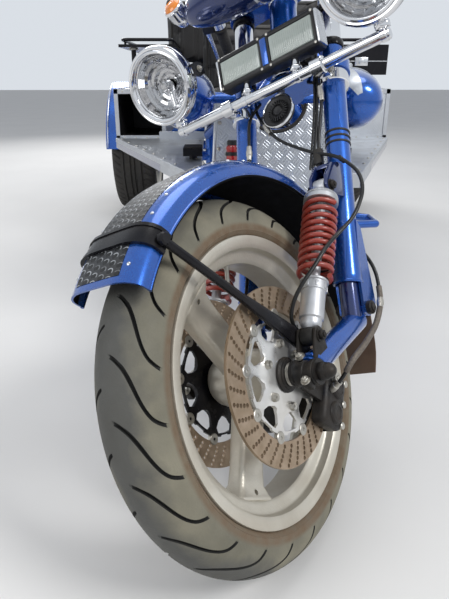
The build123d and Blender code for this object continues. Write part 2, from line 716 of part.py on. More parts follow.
def frame():
    low, high = LOWER_YOKE + YOKE_T + BEARING_GAP, UPPER_YOKE - BEARING_GAP
    middle, spread = (low + high) / 2, high - low
    bore = rod(neck_point(low - 50), neck_point(high + 50), STEM_R + RUNNING_GAP)
    body = rod(neck_point(low), neck_point(high), NECK_R)
    body += rod(neck_point(middle + spread * 0.03, -4), (0, BACKBONE[0] + 5, BACKBONE[1]), 26)
    body += rod(neck_point(middle - spread * 0.28, -4), (0, 760, 700), RAIL_R)
    ay, az = REAR_AXLE
    tail = ay + TAIL_PAST_AXLE
    for s in SIDES:
        x = s * RAIL_X
        down = [(0, DOWN_TUBE_Y, BACKBONE[1] - 7), (s * 90, DOWN_TUBE_Y + 10, 600)]
        down.append((x, DOWN_TUBE_Y, LOW_RAIL_Z))
        body += path_rod(down + [(x, ay - 230, LOW_RAIL_Z), (x, ay - 130, KICK_Z), (x, tail, KICK_Z)], RAIL_R)
        body += path_rod([(0, *BACKBONE), (x, HIGH_RAIL_FRONT, HIGH_RAIL_Z), (x, tail, HIGH_RAIL_Z),
                          (x, tail, KICK_Z)], RAIL_R)
        for y in (HIGH_RAIL_FRONT, *UPRIGHT_TUBES):
            body += rod((x, y, LOW_RAIL_Z), (x, y, HIGH_RAIL_Z), BRACE_R)
        for z, across in ((400, 140), (590, 93)):
            stub = rod((s * across, DOWN_TUBE_Y + 5, z), (s * across, BULKHEAD_Y - 8, z), 8)
            body += stub - bulkhead_space()
    bars = [(DOWN_TUBE_Y, LOW_RAIL_Z), (HIGH_RAIL_FRONT, LOW_RAIL_Z), (HIGH_RAIL_FRONT, HIGH_RAIL_Z)]
    bars += [(UPRIGHT_TUBES[0], LOW_RAIL_Z), (tail, KICK_Z), (tail, HIGH_RAIL_Z)]
    bars += [(y, ENGINE_Z[0] - MOUNT_R) for y in (ENGINE_Y[0] + 60, ENGINE_Y[1] - 60)]
    for y, z in bars:
        body += rod((-RAIL_X, y, z), (RAIL_X, y, z), MOUNT_R)
    for y, reach in OUTRIGGERS:
        z = FLOOR_Z - FLOOR_T - BRACE_R
        body += rod((-reach, y, z), (reach, y, z), BRACE_R)
        for s in SIDES:
            body += rod((s * RAIL_X, y, z), (s * RAIL_X, y, LOW_RAIL_Z), BRACE_R - 2)
    inner = TANK_X - TANK_R / 2
    for y in TANK_BRIDGES:
        body += rod((-inner, y, TANK_Z), (inner, y, TANK_Z), BRACE_R - 2) - both_tanks()
    for s in SIDES:
        y = TANK_BRIDGES[1]
        body += rod((s * 100, y, TANK_Z), (s * 140, y, HIGH_RAIL_Z + 28), 12)
    return body - bore


def seat_pans():
    # plates on the upper rails under the cushions, and posts behind the backrests
    rail_top = HIGH_RAIL_Z + RAIL_R
    (y0, y1), (b0, b1) = RIDER_SEAT, BENCH
    pan = slab((-RIDER_HALF, y0, rail_top), (RIDER_HALF, y1, rail_top + PAN_T))
    pan += slab((-RIDER_HALF, y1, rail_top), (RIDER_HALF, b0 + 40, rail_top + PAN_T))
    pan += slab((-BENCH_HALF, b0, BENCH_Z - PAN_T), (BENCH_HALF, REST[0], BENCH_Z))
    for s in SIDES:
        for y in (b0 + 30, b1 - 30):
            pan += rod((s * RAIL_X, y, rail_top), (s * RAIL_X, y, BENCH_Z - PAN_T), 14)
        for y, top, r in ((RIDER_BACK[1], RIDER_BACK_TOP, 9), (REST[1], REST_Z[1], POST_R)):
            pan += rod((s * RAIL_X, y + r, rail_top), (s * RAIL_X, y + r, top - 60), r)
    return pan + slab((-RAIL_X, REST[0] - 10, BENCH_Z - PAN_T), (RAIL_X, BODY_FRONT, BENCH_Z))


def tank(side):
    body = egg(TANK_BACK - TANK_FRONT, TANK_R, 0.8)
    return Pos(side * TANK_X, TANK_FRONT, TANK_Z) * body.rotate(Axis.Z, 90)


def both_tanks():
    return tank(1) + tank(-1)


def lean_back(shape):
    return Pos(0, BULKHEAD_Y, 0) * shape.rotate(Axis((0, 0, LOW_RAIL_Z - 5), (1, 0, 0)), -BULKHEAD_LEAN)


def bulkhead_space():
    # everything from the plate forwards
    return lean_back(slab((-400, -400, 200), (400, BULKHEAD_T / 2, 900)))


def bulkhead():
    wide, narrow = BULKHEAD_HALF
    low, high = LOW_RAIL_Z - 5, BULKHEAD_TOP
    face = Plane.XZ * Polygon((-wide, low), (wide, low), (narrow, high), (-narrow, high), align=None)
    arch = Pos(0, 0, high + 10) * Rot(90, 0, 0) * Cylinder(BULKHEAD_ARCH_R, 60)
    return lean_back(extrude(face, BULKHEAD_T / 2, both=True) - arch)


def floorboard(side):
    # a plate with a slanted front edge, and an angle trim down that edge
    inner, corner, slant_end = RAIL_X + 25, RAIL_X + 50, BOX_FRONT - 20
    outline = [(inner, FLOOR_FRONT), (corner, FLOOR_FRONT), (FLOOR_X, slant_end), (FLOOR_X, BOX_FRONT)]
    outline.append((inner, BOX_FRONT))
    board = plate_z(outline, FLOOR_Z - FLOOR_T, FLOOR_T)
    a, b = Vector(corner, FLOOR_FRONT, 0), Vector(FLOOR_X, slant_end, 0)
    along = (b - a).normalized()
    inward = Vector(-along.Y, along.X, 0) * FLOOR_T
    edge = [(p.X, p.Y) for p in (a, b, b + inward, a + inward)]
    board += plate_z(edge, FLOOR_Z - FLOOR_LIP, FLOOR_LIP)
    return board if side > 0 else board.mirror(Plane.YZ)


def side_box(side):
    lo = (BOX_IN, BOX_FRONT + 1, FLOOR_Z - FLOOR_T)
    hi = (FLOOR_X, BOX_BACK, BOX_TOP)
    # the right-hand box is open in front, the other one is closed
    front = lo[1] + BOX_WALL if side > 0 else lo[1] - BOX_WALL
    inside_low = (lo[0] + BOX_WALL, front, lo[2] + BOX_WALL)
    box = slab(lo, hi) - slab(inside_low, [v - BOX_WALL for v in hi])
    return box if side > 0 else box.mirror(Plane.YZ)


def rack(side):
    top = slab((RACK_IN, RACK_FRONT, RACK_Z - RACK_T), (RACK_OUT, RACK_BACK, RACK_Z))
    mid_x, mid_y = (RACK_IN + RACK_OUT) / 2, (RACK_FRONT + RACK_BACK) / 2
    for x in (mid_x - RACK_HOLES_X / 2, mid_x + RACK_HOLES_X / 2):
        for y in (mid_y - RACK_HOLES_Y / 2, mid_y + RACK_HOLES_Y / 2):
            top -= rod((x, y, RACK_Z - 40), (x, y, RACK_Z + 40), RACK_HOLE_R)
    for x in (RACK_IN + 70, RACK_OUT - 45):
        for y in (RACK_FRONT + 80, RACK_BACK - 80):
            top += rod((x, y, BOX_TOP), (x, y, RACK_Z - RACK_T), 9)
    return top if side > 0 else top.mirror(Plane.YZ)


def side_case():
    return slab((RACK_IN + 10, RACK_FRONT, BOX_TOP + 54), (RACK_OUT, RACK_FRONT + 68, RACK_Z - RACK_T))


def foot_peg(side):
    peg = path_rod([(side * x, y, z) for x, y, z in PEG_LOOP], PEG_R)
    return peg - rod((side * 90, DOWN_TUBE_Y + 10, 600), (side * RAIL_X, DOWN_TUBE_Y, LOW_RAIL_Z), RAIL_R)


def pedals():
    x, y = PEDAL
    w, d = PEDAL_PAD
    parts = []
    for s in SIDES:
        pad = slab((s * x - w / 2, y - d / 2, FLOOR_Z + 12), (s * x + w / 2, y + d / 2, FLOOR_Z + 34))
        pad += rod((s * x, y, FLOOR_Z), (s * x, y, FLOOR_Z + 20), 12)
        parts.append(pad.solid())
    return Compound(parts)


def cushion(half, along, height, r):
    # a rounded pad: half width, its span front to back, and its span in height
    body = slab((-half, along[0], height[0]), (half, along[1], height[1]))
    return fillet(body.edges(), r)


def engine_block():
    return slab((-ENGINE_HALF, ENGINE_Y[0], ENGINE_Z[0]), (ENGINE_HALF, ENGINE_Y[1], ENGINE_Z[1]))


def exhaust(side):
    bends = ((ENGINE_HALF, 2050, 410), (222, 2050, 410), (EXHAUST_X, 2250, EXHAUST_Z),
             (EXHAUST_X, EXHAUST_END, EXHAUST_Z))
    return path_rod([(side * x, y, z) for x, y, z in bends], EXHAUST_R)


def rear_body():
    lo = (-BODY_HALF, BODY_FRONT, HIGH_RAIL_Z + RAIL_R)
    hi = (BODY_HALF, BODY_BACK, BODY_TOP)
    tub = slab(lo, hi)
    tub = fillet(tub.edges().filter_by(Axis.X), 60)
    wall = (BODY_WALL, BODY_WALL + 40, BODY_WALL)
    tub -= slab([v + w for v, w in zip(lo, wall)], [v - w for v, w in zip(hi, wall)])
    for s in SIDES:
        post = (s * RAIL_X, REST[1] + POST_R)
        tub -= rod((*post, 0), (*post, REST_Z[1]), POST_R + 2)
    return tub


def rear_fender(side):
    ay, az = REAR_AXLE
    lo, hi, t = BODY_HALF, REAR_WHEEL_X + REAR_FENDER_OUT, REAR_FENDER_T
    r, bend = REAR_TYRE_R + REAR_FENDER_GAP, 20
    outside = [(lo, r), (hi - bend, r), (hi, r - bend), (hi, r - 70)]
    inside = [(hi - t, r - 70), (hi - t, r - bend - t / 2), (hi - bend - t / 2, r - t), (lo + t, r - t)]
    wall = [(lo + t, r - 90), (lo, r - 90)]
    ring = wheel_profile(Polyline(*outside, *inside, *wall, outside[0]))
    start, end = (math.radians(a) for a in REAR_FENDER_ARC)
    points = [(0, 0)]
    for i in range(5):
        a = start + (end - start) * i / 4
        points.append((-900 * math.cos(a), 900 * math.sin(a)))
    ring = Pos(0, ay, az) * (ring & plate_x(points, 0, 4000))
    return ring if side > 0 else ring.mirror(Plane.YZ)


def tail_lamps():
    w, h, depth = TAIL_LAMP
    z = BODY_TOP - 135
    return both(lambda s: slab((s * TAIL_LAMP_X - w / 2, BODY_BACK, z - h / 2),
                               (s * TAIL_LAMP_X + w / 2, BODY_BACK + depth, z + h / 2)))


def plate():
    w, h, t = PLATE
    return slab((-w / 2, BODY_BACK, PLATE_Z), (w / 2, BODY_BACK + t, PLATE_Z + h))


def rear_axle():
    ay, az = REAR_AXLE
    reach = REAR_WHEEL_X - 30
    body = rod((-reach, ay, az), (reach, ay, az), 36) + rod((-90, ay, az), (90, ay, az), 104)
    for s in SIDES:
        x = s * RAIL_X
        body += slab((x - 24, ay - 30, az), (x + 24, ay + 30, KICK_Z))
        body -= rod((x, ay - 100, KICK_Z), (x, ay + 100, KICK_Z), RAIL_R)
        body += rod((s * (reach - 90), ay, az), (s * (reach - 60), ay, az), 58)
    return body


def build():
    os.makedirs("parts", exist_ok=True)
    save("front_tyre", to_axle(front_tyre()))
    save("front_rim", to_axle(front_rim()))
    save("brake_discs", to_axle(both(brake_disc)))
    save("fork_legs", steered(both(fork_leg)))
    save("fork_yokes", steered(fork_yokes()))
    save("links", steered(both(link)))
    save("shocks", steered(both(shock)))
    save("springs", steered(both(spring)))
    save("front_axle", steered(front_axle()))
    save("calipers", steered(both(caliper)))
    save("front_fender", steered(front_fender()))
    save("fender_stays", steered(fender_stays()))
    save("fender_flap", steered(fender_flap()))
    save("brake_hoses", steered(brake_hoses()))
    save("light_bar", steered(light_bar()))
    save("headlamps", steered(both(headlamp)))
    save("twin_lamp", steered(twin_lamp()))
    save("dash_pod", steered(dash_pod()))
    save("handlebar", steered(handlebar()))
    save("grips", steered(both(grip)))
    save("turn_signals", steered(both(turn_signal)))
    save("horn", steered(horn()))
    for side, word in ((1, "left"), (-1, "right")):
        save(f"rear_tyre_{word}", to_rear(side, rear_tyre()))
        save(f"rear_rim_{word}", to_rear(side, rear_rim(side)))
    save("frame", frame())
    save("tanks", both(tank))
    save("bulkhead", bulkhead())
    save("floorboards", both(floorboard))
    save("side_boxes", both(side_box))
    save("racks", both(rack))
    save("side_case", side_case())
    save("foot_pegs", both(foot_peg))
    save("pedals", pedals())
    save("seat_pans", seat_pans())
    low = HIGH_RAIL_Z + RAIL_R + PAN_T
    end = RIDER_SEAT[1] - 12
    save("rider_seat", cushion(RIDER_HALF, (RIDER_SEAT[0], end), (low, low + RIDER_T), 30))
    save("rider_backrest", cushion(RIDER_HALF, RIDER_BACK, (low + 4, RIDER_BACK_TOP), 30))
    save("passenger_seat", cushion(BENCH_HALF, BENCH, (BENCH_Z, BENCH_Z + BENCH_T), 30))
    save("backrest", cushion(REST_HALF, REST, REST_Z, 35))
    save("engine_block", engine_block())
    save("exhausts", both(exhaust))
    save("rear_body", rear_body())
    save("rear_fenders", both(rear_fender))
    save("tail_lamps", tail_lamps())
    save("number_plate", plate())
    save("rear_axle", rear_axle())


build()
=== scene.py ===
# %% [markdown]
# # A home-built motorized trike
# One steered front wheel on a leading-link fork, two wide wheels behind, a tube frame between them with
# tread-plate floors, egg-shaped tanks and padded seats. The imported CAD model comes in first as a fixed
# frame: it says how large everything is and which body each piece moves with. Every piece made here goes
# exactly where its CAD node is.

# %% Load the frame
import json
from math import atan2, copysign, cos, degrees, hypot, pi, radians, sin, sqrt, tan
import bpy
import numpy as np
from mathutils import Matrix, Vector


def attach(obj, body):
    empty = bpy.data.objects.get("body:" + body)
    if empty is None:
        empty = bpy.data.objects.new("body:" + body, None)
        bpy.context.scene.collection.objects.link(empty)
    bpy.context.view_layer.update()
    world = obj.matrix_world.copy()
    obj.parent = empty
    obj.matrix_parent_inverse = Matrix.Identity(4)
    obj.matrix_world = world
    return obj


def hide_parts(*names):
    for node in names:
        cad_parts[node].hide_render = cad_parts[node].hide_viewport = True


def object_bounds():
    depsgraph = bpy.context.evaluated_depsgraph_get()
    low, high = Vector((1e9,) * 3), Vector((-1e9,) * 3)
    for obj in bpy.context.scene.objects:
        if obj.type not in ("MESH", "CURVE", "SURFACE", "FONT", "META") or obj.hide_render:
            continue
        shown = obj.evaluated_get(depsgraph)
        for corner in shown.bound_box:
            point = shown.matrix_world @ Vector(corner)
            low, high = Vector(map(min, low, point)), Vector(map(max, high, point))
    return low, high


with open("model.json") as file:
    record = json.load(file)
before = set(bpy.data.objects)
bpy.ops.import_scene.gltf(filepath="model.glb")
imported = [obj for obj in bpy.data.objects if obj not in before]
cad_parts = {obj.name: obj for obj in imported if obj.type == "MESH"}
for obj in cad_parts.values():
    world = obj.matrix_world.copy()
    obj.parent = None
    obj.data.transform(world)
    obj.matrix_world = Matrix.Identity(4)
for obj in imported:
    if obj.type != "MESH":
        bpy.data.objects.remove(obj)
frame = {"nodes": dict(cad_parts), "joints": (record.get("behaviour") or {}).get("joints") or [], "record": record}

cad_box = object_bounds()
scene = bpy.context.scene
nodes = frame["nodes"]
print("nodes:", len(nodes), "size in metres:", [round(b - a, 3) for a, b in zip(*cad_box)])

# %% [markdown]
# The fork is easiest to shape upright and pointing straight ahead, so its pieces are drawn in the fork's
# own frame: x to the left, y backwards, z up the steering axis. Three matrices carry finished pieces to
# the vehicle. They come from the joints, so that nothing is fitted by eye.

# %% Where the fork and the wheels stand
shift = Matrix.Translation


def swing(angle, axis):
    """A turn by degrees about the X, Y or Z axis."""
    return Matrix.Rotation(radians(angle), 4, axis)


def reflect(way):
    """The mirror image across x = 0 for -1, and no change for 1."""
    return Matrix.Scale(way, 4, (1, 0, 0))


joint = {j["name"]: j for j in frame["joints"]}
steering = joint["steering"]
rake = atan2(steering["axis"][1], steering["axis"][2])
stop = radians(steering["range_deg"][1] / 2)
FORK = (shift(steering["pos_m"]) @ Matrix.Rotation(-rake, 4, "X") @ Matrix.Rotation(-stop, 4, "Z"))
axle = FORK.inverted() @ Vector(joint["front_wheel_spin"]["pos_m"])
WHEEL = FORK @ shift(axle)
REAR = {w: shift(joint[f"rear_wheel_{w}_spin"]["pos_m"]) for w in ("left", "right")}
HERE = Matrix.Identity(4)
print("rake", round(degrees(rake), 1), "steered", round(degrees(stop), 2), "axle in the fork", axle)

# %% [markdown]
# The camera stands where the photographer's did: low, close to the left front corner, looking down at the
# wheel. Lens, height and tilt were measured from the wheel's ellipses. Big soft lamps and a pale world
# light the vehicle at a plain level, so a colour renders about as it is written.

# %% Camera, lamps and floor
PHOTO_H = 599
FOCAL_PX = 559.3
camera_data = bpy.data.cameras.new("camera")
camera_data.sensor_width = 36
camera_data.lens = FOCAL_PX / PHOTO_H * camera_data.sensor_width
camera_data.clip_start = 0.02
camera = bpy.data.objects.new("camera", camera_data)
camera.location = (-0.1644, -2.1564, 0.7435)
camera.rotation_euler = (radians(90 - 21.87), 0, radians(-1.39))
scene.collection.objects.link(camera)
scene.camera = camera
scene.view_settings.view_transform = "Standard"


def area_lamp(name, place, target, size, watts):
    data = bpy.data.lights.new(name, "AREA")
    data.shape, data.size, data.energy = "DISK", size, watts
    lamp = bpy.data.objects.new(name, data)
    lamp.location = place
    lamp.rotation_euler = (Vector(target) - Vector(place)).to_track_quat("-Z", "Y").to_euler()
    scene.collection.objects.link(lamp)
    return lamp


area_lamp("key_lamp", (2.6, -3.4, 3.6), (0, -0.9, 0.4), 1.6, 125)
area_lamp("fill_lamp", (-3.4, -3.0, 2.2), (0, -0.6, 0.4), 2.4, 48)
area_lamp("top_lamp", (0.3, 0.4, 4.4), (0, 0, 0.4), 3.0, 55)
area_lamp("back_lamp", (-1.5, 4.4, 2.8), (0, 0.6, 0.5), 2.2, 75)

world = bpy.data.worlds.new("pale_world")
world.use_nodes = True
scene.world = world
bpy.ops.mesh.primitive_plane_add(size=60, location=(0, 0, cad_box[0].z - 0.0005))
floor = bpy.context.object
floor.name = "floor"
print("camera lens", round(camera_data.lens, 2), "mm at", tuple(camera.location))

# %% [markdown]
# Helpers for shaping. An operator acts on everything that is selected, so each helper clears the
# selection first. A turned piece, such as a rim or a lamp bowl, starts as one point that is extruded along
# the profile and then spun about its axis. Tubes are curves with a round bevel that become meshes. Small
# parts are easiest to read in millimetres, so the lathe and the slab take those.

# %% Selecting and editing
def mode(name):
    bpy.ops.object.mode_set(mode=name)


def pick(action="SELECT"):
    bpy.ops.mesh.select_all(action=action)


def extrude(step):
    bpy.ops.mesh.extrude_region_move(TRANSFORM_OT_translate={"value": step})


def face_out():
    """Turns the selected faces outward and ends the editing."""
    bpy.ops.mesh.normals_make_consistent(inside=False)
    mode("OBJECT")


def clear():
    if bpy.context.object and bpy.context.object.mode != "OBJECT":
        mode("OBJECT")
    bpy.ops.object.select_all(action="DESELECT")


def alone(obj):
    """Selects one object only and makes it active."""
    clear()
    obj.select_set(True)
    bpy.context.view_layer.objects.active = obj
    return obj


def choose(obj, test):
    """Opens a piece for editing, with only the faces selected that pass a test."""
    alone(obj)
    mode("EDIT")
    pick("DESELECT")
    mode("OBJECT")
    for face in obj.data.polygons:
        face.select = test(face)
    mode("EDIT")


# %% Turning, tubes and plates
def first_point(at):
    """A mesh of a single selected vertex at a place, left in edit mode."""
    clear()
    bpy.ops.mesh.primitive_plane_add(size=0.01)
    mode("EDIT")
    bpy.ops.mesh.merge(type="CENTER")
    bpy.ops.transform.translate(value=at)
    return bpy.context.object


def draw_chain(points, closed):
    """One point extruded along a list of points; a closed chain meets its start again."""
    obj = first_point(points[0])
    run = list(points) + ([points[0]] if closed else [])
    for a, b in zip(run, run[1:]):
        extrude(Vector(b) - Vector(a))
    return obj


def turned(profile, steps, closed=False, angle=2 * pi):
    """A piece turned about the X axis from a profile of (x, radius) points."""
    obj = draw_chain([(x, 0, r) for x, r in profile], closed)
    pick()
    bpy.ops.mesh.spin(steps=steps, angle=angle, center=(0, 0, 0), axis=(1, 0, 0))
    pick()
    bpy.ops.mesh.remove_doubles(threshold=1e-6)
    face_out()
    return obj


def moved(obj, place):
    """Moves a piece by a matrix and applies it, so that its object stays at the origin."""
    obj.matrix_world = place @ obj.matrix_world
    alone(obj)
    bpy.ops.object.transform_apply(location=True, rotation=True, scale=True)
    return obj


def aimed(way, axis="X", up="Z"):
    """The turn that lays an axis along a direction."""
    return way.to_track_quat(axis, up).to_matrix().to_4x4()


def shut(obj, holes=True):
    """Closes a piece's open ends, unless told not to, and turns its faces outward."""
    alone(obj)
    mode("EDIT")
    pick()
    if holes:
        bpy.ops.mesh.fill_holes(sides=0)
    face_out()


def apply_all(obj):
    alone(obj)
    for modifier in list(obj.modifiers):
        bpy.ops.object.modifier_apply(modifier=modifier.name)
    return obj


def bevelled(obj, width, segments, angle=30):
    m = obj.modifiers.new("bevel", "BEVEL")
    m.width, m.segments, m.limit_method, m.angle_limit = width, segments, "ANGLE", radians(angle)
    m.use_clamp_overlap = True
    return apply_all(obj)


def block(lo, hi, bevel=0.0, segments=2):
    """A box from corner to corner, with its edges bevelled."""
    clear()
    middle = [(a + b) / 2 for a, b in zip(lo, hi)]
    bpy.ops.mesh.primitive_cube_add(size=1, location=middle, scale=[b - a for a, b in zip(lo, hi)])
    obj = moved(bpy.context.object, HERE)
    return bevelled(obj, bevel, segments) if bevel else obj


def peg(steps, radius, depth, at):
    """A round peg along x with its middle at a place, mostly to cut a hole with."""
    clear()
    bpy.ops.mesh.primitive_cylinder_add(vertices=steps, radius=radius, depth=depth, location=at,
        rotation=(0, pi / 2, 0))
    return moved(bpy.context.object, HERE)


def in_metres(points):
    return [tuple(round(v / 1000, 7) for v in p) for p in points]


def lathe(steps, *profile, closed=False):
    """A turned piece from a profile of (x, radius) points in millimetres."""
    return turned(in_metres(profile), steps, closed)


def ring_lathe(steps, *profile):
    """A turned ring: its profile, in millimetres, closes on itself."""
    return lathe(steps, *profile, closed=True)


def slab(lo, hi, bevel=0, segments=2):
    """A bevelled box, all in millimetres."""
    return block(*in_metres((lo, hi)), round(bevel / 1000, 7), segments)


def round_bar(a, b, radius, steps, radius_b=None, bevel=0.0):
    """A round bar from a to b, tapered where radius_b is given."""
    a, b = Vector(a), Vector(b)
    clear()
    bpy.ops.mesh.primitive_cone_add(vertices=steps, radius1=radius, radius2=radius if radius_b is None else radius_b,
        depth=(b - a).length)
    turn = aimed(b - a, "Z", "Y")
    obj = moved(bpy.context.object, shift((a + b) / 2) @ turn)
    return bevelled(obj, bevel, 1, 50) if bevel else obj


def tube(points, radius, smooth=True, steps=3, cyclic=False, resolution=8):
    """A round tube along a curve that passes near the points, or straight from point to point."""
    clear()
    data = bpy.data.curves.new("tube", "CURVE")
    data.dimensions = "3D"
    data.bevel_depth, data.bevel_resolution, data.use_fill_caps = radius, steps, True
    data.resolution_u = resolution
    line = data.splines.new("NURBS" if smooth else "POLY")
    line.points.add(len(points) - 1)
    for p, q in zip(line.points, points):
        p.co = (*q, 1)
    line.use_cyclic_u = cyclic
    if smooth:
        line.order_u = 3 if len(points) < 4 else 4
        line.use_endpoint_u = not cyclic
    obj = bpy.data.objects.new("tube", data)
    scene.collection.objects.link(obj)
    alone(obj)
    bpy.ops.object.convert(target="MESH")
    return bpy.context.object


def rounded_path(points, radius, steps=8):
    """A line with its corners rounded by arcs of about one radius."""
    points = [Vector(p) for p in points]
    path = [points[0]]
    for a, b, c in zip(points, points[1:], points[2:]):
        before, after = (a - b).normalized(), (c - b).normalized()
        half = before.angle(after) / 2
        reach = min(radius / tan(half), 0.48 * min((a - b).length, (c - b).length))
        start, end = b + before * reach, b + after * reach
        path += [start.lerp(b, t / steps).lerp(b.lerp(end, t / steps), t / steps) for t in range(steps + 1)]
    return path + [points[-1]]


def plate(points, thickness, axis="X"):
    """A flat plate drawn in the two other directions and as thick as said, on both sides of zero."""
    if axis == "X":
        outline, push = [(-thickness / 2, y, z) for y, z in points], (thickness, 0, 0)
    elif axis == "Y":
        outline, push = [(x, -thickness / 2, z) for x, z in points], (0, thickness, 0)
    else:
        outline, push = [(x, y, -thickness / 2) for x, y in points], (0, 0, thickness)
    obj = draw_chain(outline, True)
    pick()
    bpy.ops.mesh.remove_doubles(threshold=1e-6)
    pick()
    bpy.ops.mesh.edge_face_add()
    extrude(push)
    pick()
    face_out()
    return obj


# %% Joining, cutting, copying and finishing
def joined(*objs):
    """Several objects made one, named and kept as the first."""
    alone(objs[0])
    for o in objs[1:]:
        o.select_set(True)
    if len(objs) > 1:
        bpy.ops.object.join()
    return bpy.context.object


def cut(obj, cutter):
    """Takes the cutter's shape out of a piece, and removes the cutter."""
    m = obj.modifiers.new("cut", "BOOLEAN")
    m.operation, m.object, m.solver = "DIFFERENCE", cutter, "EXACT"
    apply_all(obj)
    bpy.data.objects.remove(cutter)
    return obj


def copies(obj, places):
    """One mesh that holds a copy of obj at each place; obj itself is used up."""
    mesh = obj.data
    flat = np.empty(len(mesh.vertices) * 3)
    mesh.vertices.foreach_get("co", flat)
    flat = np.c_[flat.reshape(-1, 3), np.ones(len(mesh.vertices))]
    faces = [tuple(p.vertices) for p in mesh.polygons]
    spots, all_faces = [], []
    for i, place in enumerate(places):
        spots.append(flat @ np.array(place).T[:, :3])
        flip = place.determinant() < 0
        first = i * len(flat)
        all_faces += [tuple(v + first for v in (f[::-1] if flip else f)) for f in faces]
    out = bpy.data.meshes.new("copies")
    out.from_pydata(np.concatenate(spots).tolist(), [], all_faces)
    new = bpy.data.objects.new("copies", out)
    scene.collection.objects.link(new)
    bpy.data.objects.remove(obj)
    return new


def copy_of(obj):
    """A second object with its own mesh."""
    alone(obj)
    bpy.ops.object.duplicate()
    return bpy.context.object


def joined_copies(*objs):
    return joined(*[copy_of(obj) for obj in objs])


def laid(obj, places):
    """Copies of a piece that is still needed."""
    return copies(copy_of(obj), places)


def discard(*objs):
    for obj in objs:
        bpy.data.objects.remove(obj)


def around(count, start=0.0):
    """Places turned evenly round the X axis."""
    return [Matrix.Rotation(start + 2 * pi * i / count, 4, "X") for i in range(count)]


def piece(obj, name, material, body="root", place=HERE, angle=35):
    """Names a finished piece, puts it in place, gives it its finish and lets it ride on its body."""
    moved(obj, place)
    bpy.ops.object.shade_smooth_by_angle(angle=radians(angle))
    obj.name = obj.data.name = name
    obj.data.materials.clear()
    obj.data.materials.append(material)
    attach(obj, body)
    return obj


def fork_piece(obj, name, material, place=FORK, angle=35):
    return piece(obj, name, material, "fork", place, angle)


print("helpers ready")

# %% [markdown]
# Finishes. Effects that several finishes share, such as uneven gloss, dust on upward faces, metal flake,
# grain and the raised bars of tread plate, are node groups with named inputs. Each is built once and placed
# in every material with its own values. Shaders stay in the materials themselves.

# %% Tools for node groups
def new_group(name, inputs, outputs):
    """A shader node group with number inputs and outputs; returns it with its two end nodes."""
    group = bpy.data.node_groups.new(name, "ShaderNodeTree")
    for label, value in inputs:
        socket = group.interface.new_socket(name=label, in_out="INPUT", socket_type="NodeSocketFloat")
        socket.default_value = value
    for label in outputs:
        group.interface.new_socket(name=label, in_out="OUTPUT", socket_type="NodeSocketFloat")
    return group, group.nodes.new("NodeGroupInput"), group.nodes.new("NodeGroupOutput")


def put(tree, kind, settings=None, **values):
    """Adds a node, with settings as attributes and values on its inputs; a linked value is a socket."""
    node = tree.nodes.new("ShaderNode" + kind)
    for key, value in (settings or {}).items():
        setattr(node, key, value)
    for key, value in values.items():
        name = key.replace("_", " ")
        target = node.inputs[int(key[1:])] if key[0] == "i" and key[1:].isdigit() else node.inputs[name]
        if isinstance(value, bpy.types.NodeSocket):
            tree.links.new(value, target)
        else:
            target.default_value = value
    return node


def calc(tree, operation, a, b=None, c=None, clamp=False):
    values = {f"i{i}": v for i, v in enumerate((a, b, c)) if v is not None}
    return put(tree, "Math", {"operation": operation, "use_clamp": clamp}, **values).outputs[0]


def ramp(tree, value, stops):
    """A number run through a curve of (place, level) stops."""
    node = put(tree, "ValToRGB", i0=value)
    band = node.color_ramp
    while len(band.elements) < len(stops):
        band.elements.new(0.5)
    for element, (place, level) in zip(band.elements, stops):
        element.position, element.color = place, (level, level, level, 1)
    return node.outputs["Color"]


def object_coordinates(tree):
    return put(tree, "TexCoord").outputs["Object"]


# %% Pale world: dim as a light, brighter where the camera, a mirror or a glass looks at it
tree = world.node_tree
tree.nodes.clear()
rays = put(tree, "LightPath").outputs
looked_at = calc(tree, "MAXIMUM", calc(tree, "MAXIMUM", rays["Is Camera Ray"], rays["Is Glossy Ray"]),
    rays["Is Transmission Ray"])
light = put(tree, "Background", Color=(0.86, 0.91, 1.0, 1), Strength=0.42)
show = put(tree, "Background", Color=(0.7, 0.74, 0.79, 1))
sky = put(tree, "MixShader", i0=looked_at, i1=light.outputs[0], i2=show.outputs[0])
put(tree, "OutputWorld", Surface=sky.outputs[0])

# %% Shared effects
uneven, g_in, g_out = new_group("uneven", [("Scale", 30), ("Low", 0.2), ("High", 0.5)], ["Value"])
noise = put(uneven, "TexNoise", i0=object_coordinates(uneven), Scale=g_in.outputs["Scale"], Detail=6.0)
spread = put(uneven, "MapRange", i0=noise.outputs["Fac"], i1=0.3, i2=0.7, i3=g_in.outputs["Low"],
    i4=g_in.outputs["High"])
uneven.links.new(spread.outputs[0], g_out.inputs["Value"])

dust, g_in, g_out = new_group("dust", [("Amount", 0.4), ("Scale", 12), ("Up", 0.6)], ["Mask"])
noise = put(dust, "TexNoise", i0=object_coordinates(dust), Scale=g_in.outputs["Scale"], Detail=8.0)
patches = ramp(dust, noise.outputs["Fac"], [(0.35, 0.0), (0.72, 1.0)])
facing = put(dust, "SeparateXYZ", i0=put(dust, "NewGeometry").outputs["Normal"])
upward = calc(dust, "MULTIPLY_ADD", facing.outputs["Z"], g_in.outputs["Up"],
    calc(dust, "SUBTRACT", 1.0, g_in.outputs["Up"]), True)
mask = calc(dust, "MULTIPLY", calc(dust, "MULTIPLY", patches, upward), g_in.outputs["Amount"], None, True)
dust.links.new(mask, g_out.inputs["Mask"])

flake, g_in, g_out = new_group("metal_flake", [("Scale", 2500)], ["Value"])
cells = put(flake, "TexVoronoi", i0=object_coordinates(flake), Scale=g_in.outputs["Scale"])
shade = put(flake, "SeparateColor", i0=cells.outputs["Color"])
flake.links.new(shade.outputs["Red"], g_out.inputs["Value"])

